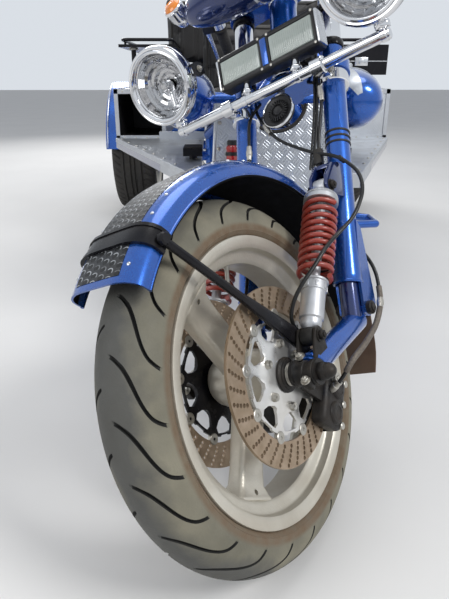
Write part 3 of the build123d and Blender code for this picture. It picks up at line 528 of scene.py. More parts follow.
grain, g_in, g_out = new_group("leather_grain", [("Scale", 420)], ["Height"])
cells = put(grain, "TexVoronoi", {"feature": "DISTANCE_TO_EDGE"}, i0=object_coordinates(grain),
    Scale=g_in.outputs["Scale"])
folds = put(grain, "TexNoise", i0=object_coordinates(grain), Scale=26.0, Detail=3.0)
pebble = calc(grain, "MINIMUM", cells.outputs["Distance"], 0.22)
grain.links.new(calc(grain, "MULTIPLY_ADD", folds.outputs["Fac"], 0.6, pebble), g_out.inputs["Height"])

# %% Tread plate: short raised bars, each patch turned across the next
bars, g_in, g_out = new_group("tread_bars", [("Pitch", 0.05), ("Lie", 0.0)], ["Height"])
place = put(bars, "SeparateXYZ", i0=put(bars, "TexCoord").outputs["Object"])
flat = calc(bars, "MULTIPLY_ADD", place.outputs["Z"], g_in.outputs["Lie"], calc(bars, "MULTIPLY", place.outputs["Y"],
    calc(bars, "SUBTRACT", 1.0, g_in.outputs["Lie"])))
wide = calc(bars, "MULTIPLY_ADD", place.outputs["Y"], g_in.outputs["Lie"], place.outputs["X"])
across = [calc(bars, "DIVIDE", calc(bars, way, wide, flat), g_in.outputs["Pitch"]) for way in ("ADD", "SUBTRACT")]
cell = [calc(bars, "FLOOR", a) for a in across]
inside = [calc(bars, "ABSOLUTE", calc(bars, "SUBTRACT", calc(bars, "FRACT", a), 0.5)) for a in across]
parity = calc(bars, "ABSOLUTE", calc(bars, "MODULO", calc(bars, "ADD", cell[0], cell[1]), 2.0))
heights = []
for a, b in ((0, 1), (1, 0)):
    fine = calc(bars, "ABSOLUTE", calc(bars, "SUBTRACT", calc(bars, "FRACT", calc(bars, "MULTIPLY", across[a], 3.0)),
        0.5))
    ridge = ramp(bars, fine, [(0.1, 1.0), (0.24, 0.0)])
    ends = ramp(bars, inside[b], [(0.34, 1.0), (0.44, 0.0)])
    heights.append(calc(bars, "MULTIPLY", ridge, ends))
even = calc(bars, "MULTIPLY", heights[0], calc(bars, "SUBTRACT", 1.0, parity))
both_ways = calc(bars, "MULTIPLY_ADD", heights[1], parity, even)
bars.links.new(both_ways, g_out.inputs["Height"])
print("shared effects:", [g.name for g in bpy.data.node_groups])


# %% [markdown]
# A finish is one Principled shader. Its colour, roughness and bump come from the shared effects; numbers that
# are the same all over the surface, such as the clear coat's roughness, sit on the shader itself.

# %% One finish
def use(tree, group, **values):
    node = tree.nodes.new("ShaderNodeGroup")
    node.node_tree = group
    for key, value in values.items():
        node.inputs[key].default_value = value
    return node.outputs[0]


def blend_colours(tree, factor, a, b):
    node = tree.nodes.new("ShaderNodeMix")
    node.data_type = "RGBA"
    for i, value in ((0, factor), (6, a), (7, b)):
        if isinstance(value, bpy.types.NodeSocket):
            tree.links.new(value, node.inputs[i])
        else:
            node.inputs[i].default_value = value if i == 0 else (*value, 1) if len(value) == 3 else value
    return node.outputs[2]


def finish(name, colour, second, rough, metallic, mottle, dirt=0.0, dirt_colour=(0.19, 0.16, 0.12), dirt_up=0.6,
        bump=0.0, bump_scale=200.0, height=None, **fixed):
    """A painted, cast, rubber or plastic finish: two mottled colours, uneven gloss, dust and a fine bump."""
    material = bpy.data.materials.new(name)
    material.use_nodes = True
    tree = material.node_tree
    shader = tree.nodes["Principled BSDF"]
    shader.inputs["Metallic"].default_value = metallic
    for key, value in fixed.items():
        shader.inputs[key.replace("_", " ")].default_value = value
    base = blend_colours(tree, use(tree, uneven, Scale=mottle, Low=0.0, High=1.0), colour, second)
    gloss = use(tree, uneven, Scale=mottle * 2.3, Low=rough[0], High=rough[1])
    if dirt:
        mask = use(tree, dust, Amount=dirt, Scale=mottle * 0.8, Up=dirt_up)
        base = blend_colours(tree, mask, base, dirt_colour)
        gloss = calc(tree, "MULTIPLY_ADD", mask, 0.5, gloss, True)
    tree.links.new(base, shader.inputs["Base Color"])
    tree.links.new(gloss, shader.inputs["Roughness"])
    if bump:
        fine = height(tree) if height else use(tree, uneven, Scale=bump_scale, Low=0.0, High=1.0)
        relief = put(tree, "Bump", Height=fine, Strength=0.6, Distance=bump)
        tree.links.new(relief.outputs[0], shader.inputs["Normal"])
    return material


def recolour(material, mask_of, colour):
    """Lays one more colour over a finish where a mask says."""
    tree = material.node_tree
    shader = tree.nodes["Principled BSDF"]
    before = shader.inputs["Base Color"].links[0].from_socket
    tree.links.new(blend_colours(tree, mask_of(tree), before, colour), shader.inputs["Base Color"])
    return material


def clean_and_shaded_crown(tree):
    """The middle of the tread, darker: partly rubber that the road keeps clean, partly painted shade; patchy at its
    edges.
    """
    out = put(tree, "SeparateXYZ", i0=put(tree, "UVMap", {"uv_map": "ring"}).outputs[0]).outputs["X"]
    spread = calc(tree, "MULTIPLY_ADD", use(tree, uneven, Scale=14.0, Low=-0.2, High=0.2), 1.0, out)
    return ramp(tree, spread, [(0.25, 0.85), (0.62, 0.0)])


def wall_mask(tree):
    """The walls of a tyre whose UV map runs out from the crown."""
    out = put(tree, "SeparateXYZ", i0=put(tree, "UVMap", {"uv_map": "ring"}).outputs[0]).outputs["X"]
    return calc(tree, "MULTIPLY", ramp(tree, out, [(0.83, 0.0), (0.9, 1.0)]), use(tree, uneven, Scale=60.0, Low=0.55,
        High=1.0))


# %% Blue metallic paint with flake
paint = finish("blue_paint", (0.002, 0.045, 0.3), (0.003, 0.065, 0.38), (0.2, 0.3), 0.7, 9.0, dirt=0.08,
    Coat_Weight=1.0, Coat_Roughness=0.05)
recolour(paint, lambda t: calc(t, "MULTIPLY", use(t, flake, Scale=1800.0), 0.35), (0.015, 0.26, 0.85))
# A darker blue. On the links' inner tubes and on the shock ears it is the legs' blue paint in painted shade.
dark_and_shaded_blue = finish("dark_blue_paint", (0.004, 0.014, 0.075), (0.006, 0.02, 0.11), (0.15, 0.22), 0.4, 9.0, dirt=0.08,
    Coat_Weight=1.0, Coat_Roughness=0.04)
recolour(dark_and_shaded_blue, lambda t: calc(t, "MULTIPLY", use(t, flake, Scale=1800.0), 0.25), (0.02, 0.06, 0.3))
black_paint = finish("black_paint", (0.005, 0.005, 0.007), (0.01, 0.01, 0.013), (0.16, 0.28), 0.0, 25.0, dirt=0.08,
    bump=0.0001, bump_scale=420.0, Coat_Weight=0.15, Coat_Roughness=0.08, Specular_IOR_Level=0.12)
# Near-black matt for the inside of the front fender: painted shade.
shaded_underside = finish("matt_shaded_underside", (0.003, 0.003, 0.004), (0.006, 0.006, 0.007), (0.55, 0.7), 0.0, 25.0,
    Specular_IOR_Level=0.1)
worn_black = finish("worn_black", (0.009, 0.009, 0.01), (0.022, 0.02, 0.018), (0.32, 0.5), 0.2, 45.0, dirt=0.45,
    dirt_colour=(0.07, 0.05, 0.033), bump=0.0003, bump_scale=380.0, Specular_IOR_Level=0.3)

# %% Chrome, steel and alloy
chrome = finish("chrome", (0.82, 0.82, 0.83), (0.74, 0.75, 0.77), (0.05, 0.12), 1.0, 14.0, dirt=0.12)
steel = finish("turned_steel", (0.44, 0.34, 0.25), (0.34, 0.26, 0.18), (0.34, 0.48), 0.9, 60.0, dirt=0.3,
    dirt_colour=(0.24, 0.16, 0.1), dirt_up=0.1)
shock_alloy = finish("shock_alloy", (0.56, 0.57, 0.59), (0.47, 0.48, 0.5), (0.36, 0.5), 0.9, 35.0, dirt=0.25)
satin_steel = finish("satin_steel", (0.68, 0.69, 0.71), (0.6, 0.61, 0.63), (0.2, 0.3), 1.0, 35.0, dirt=0.15)
zinc = finish("zinc_plate", (0.55, 0.53, 0.48), (0.42, 0.4, 0.36), (0.28, 0.45), 0.9, 80.0, dirt=0.3)
alloy = finish("cast_alloy", (0.66, 0.63, 0.55), (0.56, 0.52, 0.44), (0.32, 0.46), 0.6, 12.0, dirt=0.4,
    dirt_colour=(0.26, 0.21, 0.15), dirt_up=0.1, bump=0.0003, bump_scale=260.0)
carrier_alloy = finish("carrier_alloy", (0.8, 0.79, 0.77), (0.7, 0.69, 0.66), (0.24, 0.36), 0.85, 30.0, dirt=0.2,
    dirt_colour=(0.3, 0.25, 0.2), dirt_up=0.1)
tread_plate = finish("tread_plate", (0.6, 0.625, 0.66), (0.52, 0.54, 0.57), (0.3, 0.42), 0.85, 18.0, dirt=0.25,
    bump=0.0006, height=lambda t: use(t, bars, Pitch=0.029, Lie=0.0))
upright_plate = finish("upright_tread_plate", (0.6, 0.625, 0.66), (0.52, 0.54, 0.57), (0.3, 0.42), 0.85, 18.0,
    dirt=0.2, bump=0.0006, height=lambda t: use(t, bars, Pitch=0.029, Lie=1.0))
sheet = finish("bare_aluminium", (0.6, 0.62, 0.65), (0.53, 0.55, 0.58), (0.28, 0.4), 0.9, 22.0, dirt=0.2)
engine_grey = finish("cast_iron_grey", (0.16, 0.16, 0.165), (0.1, 0.1, 0.1), (0.45, 0.65), 0.5, 18.0, dirt=0.5,
    bump=0.0006, bump_scale=150.0)

# %% Rubber, plastic, leather and lamp colours
tyre = finish("tyre_rubber", (0.13, 0.122, 0.09), (0.19, 0.178, 0.132), (0.6, 0.78), 0.0, 16.0, dirt=0.7,
    dirt_colour=(0.3, 0.275, 0.205), dirt_up=0.0, bump=0.0004, bump_scale=330.0)
# a darker grey round the crown: partly clean rubber, partly painted shade
recolour(tyre, clean_and_shaded_crown, (0.075, 0.076, 0.074))
recolour(tyre, wall_mask, (0.15, 0.1, 0.06))
# The rear tyres get a far darker rubber than the front tyre: painted shade.
shaded_tyre = finish("shaded_tyre_rubber", (0.022, 0.021, 0.02), (0.04, 0.037, 0.033), (0.6, 0.78), 0.0, 7.0, dirt=0.3,
    dirt_colour=(0.12, 0.105, 0.085), dirt_up=0.0, bump=0.0004, bump_scale=330.0)
rubber = finish("black_rubber", (0.014, 0.014, 0.014), (0.028, 0.026, 0.024), (0.4, 0.6), 0.0, 30.0, dirt=0.2,
    Specular_IOR_Level=0.25)
hose_rubber = finish("hose_rubber", (0.006, 0.006, 0.006), (0.012, 0.012, 0.012), (0.25, 0.38), 0.0, 40.0,
    Specular_IOR_Level=0.35)
braid = finish("braided_sleeve", (0.2, 0.17, 0.14), (0.1, 0.085, 0.07), (0.4, 0.6), 0.5, 260.0, dirt=0.3, bump=0.0006,
    bump_scale=900.0)
brown_rubber = finish("brown_rubber", (0.1, 0.058, 0.035), (0.07, 0.04, 0.025), (0.6, 0.8), 0.0, 16.0, dirt=0.4,
    dirt_colour=(0.2, 0.15, 0.1), dirt_up=0.1)
plastic = finish("black_plastic", (0.012, 0.012, 0.014), (0.02, 0.02, 0.022), (0.28, 0.42), 0.0, 25.0, dirt=0.12,
    bump=0.0002, bump_scale=500.0, Specular_IOR_Level=0.3)
red_spring = finish("red_spring_paint", (0.36, 0.035, 0.018), (0.27, 0.022, 0.012), (0.28, 0.42), 0.0, 40.0,
    dirt=0.25, Coat_Weight=0.4, Coat_Roughness=0.2)
leather = finish("black_leather", (0.009, 0.009, 0.01), (0.016, 0.015, 0.016), (0.38, 0.55), 0.0, 12.0, dirt=0.15,
    bump=0.0009, height=lambda t: use(t, grain, Scale=420.0), Specular_IOR_Level=0.35)
stitch = finish("stitch_thread", (0.06, 0.06, 0.065), (0.1, 0.1, 0.1), (0.6, 0.8), 0.0, 200.0)
frosted = finish("frosted_lens", (0.4, 0.46, 0.42), (0.5, 0.55, 0.5), (0.12, 0.2), 0.0, 10.0, dirt=0.15,
    Coat_Weight=0.8, Coat_Roughness=0.06)
amber = finish("amber_lens", (0.75, 0.2, 0.01), (0.85, 0.27, 0.015), (0.12, 0.2), 0.0, 60.0, Coat_Weight=0.8)
red_lens = finish("red_lens", (0.5, 0.012, 0.01), (0.4, 0.008, 0.008), (0.1, 0.2), 0.0, 60.0, Coat_Weight=0.8)
white = finish("plate_white", (0.75, 0.75, 0.74), (0.68, 0.68, 0.67), (0.3, 0.4), 0.0, 30.0, dirt=0.2)
pale_floor = finish("pale_floor", (0.78, 0.77, 0.75), (0.75, 0.74, 0.72), (0.75, 0.85), 0.0, 2.0)
floor.data.materials.append(pale_floor)

glass = bpy.data.materials.new("clear_glass")
glass.use_nodes = True
glass_shader = glass.node_tree.nodes["Principled BSDF"]
glass_shader.inputs["Transmission Weight"].default_value = 1.0
glass_shader.inputs["IOR"].default_value = 1.12
glass.node_tree.links.new(use(glass.node_tree, uneven, Scale=30.0, Low=0.0, High=0.03),
    glass_shader.inputs["Roughness"])

# %% Every CAD node gets the finish of its slot
slot_finish = {"blue_paint": paint, "black_paint": black_paint, "dark_blue_paint": dark_and_shaded_blue, "chrome": chrome,
    "steel": steel, "shock_steel": satin_steel, "spring_red": red_spring, "tread_plate": tread_plate,
    "cast_alloy": alloy, "tyre_rubber": tyre, "rubber": rubber, "lamp_black": plastic, "leather": leather,
    "engine_grey": engine_grey, "lamp_red": red_lens, "plate_white": white}
for part in frame["record"]["subparts"]:
    mesh = nodes[part["node"]].data
    mesh.materials.clear()
    mesh.materials.append(slot_finish[part["material_slot"]])
nodes["bulkhead"].data.materials[0] = upright_plate
print("finishes:", len(bpy.data.materials), "nodes dressed:", len(nodes))

# %% [markdown]
# ## Front tyre
# A wide motorcycle tyre with a round crown. Its long grooves start near the middle, run almost along the
# tyre and sweep out to the shoulder. The plain section is spun first. Then the rings of points are slid
# along the tyre so that they lie in the grooves' direction, and only the points in a groove are pushed in:
# the grooves stay crisp with few faces.

# %% Front tyre
CROWN_R = 0.054              # radius of the round section
CROWN_MID = 0.245            # its middle, from the axle
BEAD_HALF = 0.045
BEAD_R = 0.2165
SLOTS = 46                   # grooves of the left and the right half alternate
LINES = 7                    # lines of points to each slot
GROOVE_W = 0.0052
GROOVE_DEPTH = 0.0055
# how far a groove has swept along the tyre, in degrees, at degrees out from the crown
SWEEP = ((0, 20.5), (8, 20), (22, 18), (34, 15), (42, 11), (50, 7), (57, 4), (68, 2), (85, 0), (95, 0))


def between(table, x):
    for (a, fa), (b, fb) in zip(table, table[1:]):
        if x <= b:
            return fa + (fb - fa) * (x - a) / (b - a)
    return table[-1][1]


def ease(x, low, high):
    t = min(1.0, max(0.0, (x - low) / (high - low)))
    return t * t * (3 - 2 * t)


def smooth_sweep(lean):
    return sum(between(SWEEP, abs(abs(lean) + d)) for d in (-8, -5, -2.5, 0, 2.5, 5, 8)) / 7


crown = [(CROWN_R * sin(radians(d)), CROWN_MID + CROWN_R * cos(radians(d))) for d in range(-87, 88, 3)]
wall = [(0.0536, 0.2415), (0.0528, 0.2385), (0.0533, 0.2375), (0.0512, 0.2352), (0.049, 0.2325), (0.047, 0.2312),
    (BEAD_HALF, 0.2295), (BEAD_HALF, BEAD_R)]
section = [(-x, r) for x, r in reversed(wall)] + crown + wall
front_tyre = turned(section, steps=SLOTS * LINES, closed=True)
slot_angle = 360 / SLOTS
groove_shade_points = set()
for v in front_tyre.data.vertices:
    x, y, z = v.co
    ring = hypot(y, z)
    if ring < BEAD_R + 0.001:
        continue
    lean = degrees(atan2(abs(x), max(ring - CROWN_MID, -0.01)))
    line = round((degrees(atan2(z, -y)) - 90) % 360 / (slot_angle / LINES)) % (SLOTS * LINES)
    slot_number, step = divmod(line, LINES)
    slope = radians(smooth_sweep(lean - 3) - smooth_sweep(lean + 3)) / radians(6)
    half = degrees(GROOVE_W / 2 / ring) * sqrt(1 + (ring / CROWN_R * slope) ** 2)
    half = min(half, slot_angle * 0.3)
    fade = ease(lean, 88, 100)
    offset = (0, half * 0.35, half * 1.65, half * 2)[step] if step < 4 else (half * 2 + (slot_angle - half * 2)
        * (step - 3) / (LINES - 3))
    offset = offset * (1 - fade) + step * slot_angle / LINES * fade
    turn = radians(90 + slot_number * slot_angle + offset + smooth_sweep(min(lean, 90)))
    main = (slot_number % 2 == 0) == (x > 0)
    depth = 0.0
    if main and step in (1, 2):
        depth = GROOVE_DEPTH * ease(lean, 5, 16) * (1 - ease(lean, 72, 86))
    if depth > 0.35 * GROOVE_DEPTH:
        groove_shade_points.add(v.index)
    scale = (ring - depth * max(0.3, cos(radians(min(lean, 90))))) / ring
    side_in = depth * sin(radians(min(lean, 90)))
    v.co = (x - copysign(side_in, x), -ring * scale * cos(turn), ring * scale * sin(turn))
ring_map = front_tyre.data.uv_layers.new(name="ring")
for loop in front_tyre.data.loops:
    x, y, z = front_tyre.data.vertices[loop.vertex_index].co
    ring_map.data[loop.index].uv = (atan2(abs(x), hypot(y, z) - CROWN_MID) * 0.573, atan2(z, -y))
piece(front_tyre, "front_tyre_rubber", tyre, "front_wheel", WHEEL, angle=28)
# Faces deep in the grooves get near-black rubber: painted shade in the grooves.
front_tyre.data.materials.append(finish("groove_shade_rubber", (0.01, 0.01, 0.009), (0.018, 0.017, 0.015), (0.7, 0.85), 0.0,
    30.0))
for face in front_tyre.data.polygons:
    face.material_index = int(any(v in groove_shade_points for v in face.vertices))
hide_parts("front_tyre")
print("tyre faces:", len(front_tyre.data.polygons), "grooves on each side:", SLOTS // 2)

# %% [markdown]
# ## Front rim
# A cast rim with a bright outer lip and a deep barrel, three broad hollow spokes that flare into pads with
# a hole at the rim, a hub, and a valve. The barrel is turned; one spoke is drawn out of a block by
# extruding and scaling its end, and copied.

# %% Barrel, lips and hub
rim_half = [(0.0405, 0.2088), (0.0345, 0.2082), (0.0325, 0.2068), (0.0308, 0.2032), (0.0285, 0.196), (0.0265, 0.191),
    (0.0235, 0.1885)]
lip_half = [(0.0448, 0.2296), (0.0482, 0.2298), (0.0502, 0.2288), (0.0506, 0.2268), (0.0498, 0.2215), (0.049, 0.2165),
    (0.0478, 0.2128), (0.0455, 0.2098)]
seat_half = [(0.0235, 0.1965), (0.0285, 0.2145), (0.0445, 0.2162)]
profile = seat_half + lip_half + rim_half
profile = profile + [(-x, r) for x, r in reversed(profile)]
barrel = turned(profile, steps=144, closed=True)
hub = ring_lathe(48, (-57.5, 10.8), (-57.5, 36), (-50, 41), (-30, 46), (0, 49), (30, 46), (50, 41), (57.5, 36),
    (57.5, 10.8))

# %% Spokes and valve
SPOKE_COUNT = 3
FIRST_SPOKE = radians(34.6)     # up from the forward direction


def towards(angle):
    """Turns what points up (z) to an angle up from the forward direction (-y)."""
    return Matrix.Rotation(pi / 2 - angle, 4, "X")


spoke = slab((-15, -29, 36), (15, 29, 100))
choose(spoke, lambda face: face.normal.z > 0.9)
for rise, wide, thick in ((0.045, 1.02, 1.0), (0.022, 1.04, 1.08), (0.013, 1.22, 1.35), (0.009, 1.2, 1.3)):
    extrude((0, 0, rise))
    bpy.ops.transform.resize(value=(thick, wide, 1))
mode("OBJECT")
bevelled(spoke, 0.0085, 4, 40)
cut(spoke, peg(24, 0.0042, 0.06, (0.02, 0, 0.176)))
spokes = copies(spoke, [towards(FIRST_SPOKE + 2 * pi * i / SPOKE_COUNT) for i in range(SPOKE_COUNT)])
stem = lathe(14, (0, 0.1), (0, 4.2), (4, 4.6), (8, 3.6), (27, 3.4), (28, 4.4), (36, 4.4), (37, 0.1))
moved(stem, towards(radians(72)) @ shift((0.004, 0, 0.1885)) @ swing(100, "Y"))
front_rim = joined(barrel, hub, spokes)
piece(front_rim, "front_rim_cast", alloy, "front_wheel", WHEEL)
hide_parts("front_rim")
piece(stem, "valve_stem", zinc, "front_wheel", WHEEL)
print("rim faces:", len(front_rim.data.polygons))

# %% [markdown]
# ## Brake discs
# Two thin steel discs, drilled all round with slanted rows of small holes, each held by floating buttons on
# an alloy carrier with teardrop windows. One narrow sector of the ring is drilled, then copied round.

# %% Drilled ring
DISC_R, DISC_IN = 0.142, 0.101
DISC_T = 0.005
DISC_X = 0.066
SECTORS = 36
ROWS = 5
BUTTONS = 9
sector_angle = 2 * pi / SECTORS


def ring_point(r, a):
    return (-r * cos(a), r * sin(a))


edge = [ring_point(DISC_R, sector_angle * i / 4) for i in range(5)]
inner_edge = [ring_point(DISC_IN, sector_angle * i / 4) for i in (4, 3, 2, 1, 0)]
sector = plate(edge + inner_edge, DISC_T * 0.96)
holes = []
for i in range(ROWS):
    r = DISC_IN + 0.0075 + (DISC_R - DISC_IN - 0.013) * i / (ROWS - 1)
    y, z = ring_point(r, sector_angle * (0.22 + 0.56 * i / (ROWS - 1)))
    holes.append(peg(10, 0.0034, 0.03, (0, y, z)))
cut(sector, joined(*holes))


def is_end(face):
    across = Vector((0, face.center.z, -face.center.y)).normalized()
    return abs(face.normal.dot(across)) > 0.9 and face.area > DISC_T * (DISC_R - DISC_IN) * 0.7


choose(sector, is_end)
bpy.ops.mesh.delete(type="FACE")
mode("OBJECT")
ring = copies(sector, around(SECTORS))
alone(ring)
mode("EDIT")
pick()
bpy.ops.mesh.remove_doubles(threshold=1e-5)
mode("OBJECT")

# %% Carrier with windows and buttons
carrier = ring_lathe(90, (-2.2, 12.5), (-2.2, 92), (2.2, 92), (2.2, 62), (6.2, 56), (6.2, 12.5))
window = [ring_point(0.086, a) for a in (-0.2, -0.1, 0, 0.1, 0.2)]
window += [ring_point(0.078, 0.26), ring_point(0.066, 0.2), ring_point(0.058, 0.05), ring_point(0.058, -0.08),
    ring_point(0.066, -0.2), ring_point(0.078, -0.26)]
one_window = plate(window, 0.03)
cut(carrier, copies(one_window, around(BUTTONS, start=pi / BUTTONS)))
notch = plate([ring_point(0.1, a) for a in (-0.17, -0.08, 0, 0.08, 0.17)] + [ring_point(0.0895, 0.11),
    ring_point(0.0895, -0.11)], 0.03)
cut(carrier, copies(notch, around(BUTTONS, start=pi / BUTTONS)))
arm = slab((-2.1, -8.5, 84), (2.1, 8.5, 103), 2)
button = ring_lathe(18, (3.9, 2.8), (4.1, 8.5), (3.1, 9.8), (-3.1, 9.8), (-4.1, 8.5), (-3.9, 2.8))
button_ring = copies(moved(button, shift((0, 0, 0.0965))), around(BUTTONS, start=0.2))
arms = copies(arm, around(BUTTONS, start=0.2))
carrier_bolt = lathe(12, (6, 0.1), (11.5, 2.2), (12.5, 6), (8.5, 7.2), (6, 7.2))
bolts = copies(moved(carrier_bolt, shift((0, 0, 0.05))), around(6, start=0.3))
for label, side in (("left", 1), ("right", -1)):
    lie = shift((side * DISC_X, 0, 0)) @ reflect(side)
    drilled = piece(laid(ring, [lie]), f"disc_ring_{label}", steel, "front_wheel", WHEEL)
    spider = joined(laid(carrier, [lie]), laid(arms, [lie]))
    # The left carrier is bright alloy; the right one, behind the wheel, gets black paint as painted shade.
    piece(spider, f"disc_carrier_{label}", carrier_alloy if side > 0 else black_paint, "front_wheel", WHEEL)
    studs = joined(laid(button_ring, [lie]), laid(bolts, [lie]))
    piece(studs, f"disc_buttons_{label}", zinc, "front_wheel", WHEEL)
    if side > 0:
        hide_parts("brake_discs")
discard(ring, carrier, arms, button_ring, bolts)
print("holes in each disc:", SECTORS * ROWS, "buttons:", BUTTONS)

# %% [markdown]
# ## Shock absorbers and springs
# Each shock stands between two ears on the leg and two lugs on the leading link. It is a turned piece: an eye,
# a domed spring cap, a thin rod, a notched collar, and a bright lower body. The spring is a thick red wire
# wound round it. All are drawn along x and then laid along the shock's own line.

# %% Where the shocks are
LEG_X = 0.1096
SHOCK_X = 0.1075
SHOCK_TOP = (-0.072, 0.597)
SHOCK_LOW = (-0.142, 0.316)
PIVOT = (0.024, 0.388)
ELBOW = (0.012, 0.362)
AXLE = (axle.y, axle.z)
SIDES = ((1, "left"), (-1, "right"))


def shock_place(side):
    top, low = Vector((side * SHOCK_X, *SHOCK_TOP)), Vector((side * SHOCK_X, *SHOCK_LOW))
    return FORK @ shift(top) @ aimed(low - top)


shock_length = (Vector(SHOCK_LOW) - Vector(SHOCK_TOP)).length

# %% Shock body
body = lathe(48, (8, 0.1), (8, 10.5), (17.2, 11), (17.8, 21.5), (19.2, 26.5), (22.2, 29.6), (26.2, 30.6),
    (27.2, 29.6), (28.5, 29.6), (29.5, 30.8), (36.2, 30.8), (37, 29.6), (37, 8.8), (191, 8.8), (191, 22.8),
    (191.8, 23.8), (194.8, 23.8), (195.5, 22.8), (196, 21.6), (210.5, 21.6), (211.5, 20.8), (211.8, 20.1),
    (259.5, 20.1), (262, 17.4), (270, 17.2), (274.5, 15.5), (278.5, 11.8), (281, 0.1))
notch = slab((198.5, 19.5, -3.2), (208.5, 22.6, 3.2), 0.9)
ramps = copies(notch, around(8))
eye = ring_lathe(32, (-11, 8.5), (-11, 14.2), (-9.5, 15.2), (9.5, 15.2), (11, 14.2), (11, 8.5))
bush = ring_lathe(24, (-11.2, 4.8), (-11.2, 8.6), (11.2, 8.6), (11.2, 4.8))
across = swing(90, "Z")
ends = [across, shift((shock_length, 0, 0)) @ across]
shock = joined(body, ramps, laid(eye, ends[:1]))
low_eye = copies(eye, ends[1:])
bushes = copies(bush, ends)
for side, word in SIDES:
    place = shock_place(side)
    made = fork_piece(copy_of(shock), f"shock_{word}", shock_alloy, place)
    if side > 0:
        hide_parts("shocks")
    fork_piece(joined_copies(low_eye, bushes), f"shock_eyes_{word}", rubber, place)
discard(shock, low_eye, bushes)

# %% Springs
COILS = 10
WIRE_R = 0.0046
COIL_MID = 0.0269
SPRING_FROM, SPRING_TO = 0.0372, 0.1908
POINTS_A_TURN = 12
run = SPRING_TO - SPRING_FROM - 2 * WIRE_R
coil_points = []
for i in range(int(COILS * POINTS_A_TURN) + 1):
    turn = 2 * pi * i / POINTS_A_TURN
    share = i / (COILS * POINTS_A_TURN)
    rise = share + 0.02 * sin(2 * pi * share)
    reach = COIL_MID * 3 / (2 + cos(2 * pi / POINTS_A_TURN))
    coil_points.append((SPRING_FROM + WIRE_R + run * rise, reach * cos(turn), reach * sin(turn)))
coil = tube(coil_points, WIRE_R, steps=3, resolution=2)
for side, word in SIDES:
    made = fork_piece(copy_of(coil), f"spring_{word}", red_spring, shock_place(side), angle=60)
    if side > 0:
        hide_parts("springs")
discard(coil)
print("shock length", round(shock_length, 3), "coils", COILS)

# %% [markdown]
# ## Leading links, axle and leg fittings
# Each link is a straight blue tube with a weld, from the axle back to below the open leg, where an inner tube
# goes up in a darker blue as painted shade, and an eye sits on the pivot. Black clamps with lugs for the shock
# close round the axle, with threaded spacers, rubber boots and domed nuts. One bolt with its washer is modelled
# and copied wherever two fittings are bolted together.

# %% Bolts
def hex_bolt(size, length):
    """A bolt along x: washer, six-sided head or nut, and the thread's end."""
    head = bevelled(peg(6, size * 0.98, size * 0.8, (size * 0.55, 0, 0)), size * 0.09, 1, 20)
    washer = turned([(0, 0.0001), (0, size * 1.3), (size * 0.18, size * 1.3), (size * 0.18, 0.0001)], steps=24)
    end = turned([(-length, 0.0001), (-length, size * 0.5), (size * 1.15, size * 0.5), (size * 1.25, size * 0.34),
        (size * 1.27, 0.0001)], steps=16)
    return joined(head, washer, end)


def bolt_at(points, size, facing, length):
    """Bolts at fork-frame points, heads to the left for 1 or to the right for -1."""
    return copies(hex_bolt(size, length), [shift(p) @ reflect(facing) for p in points])


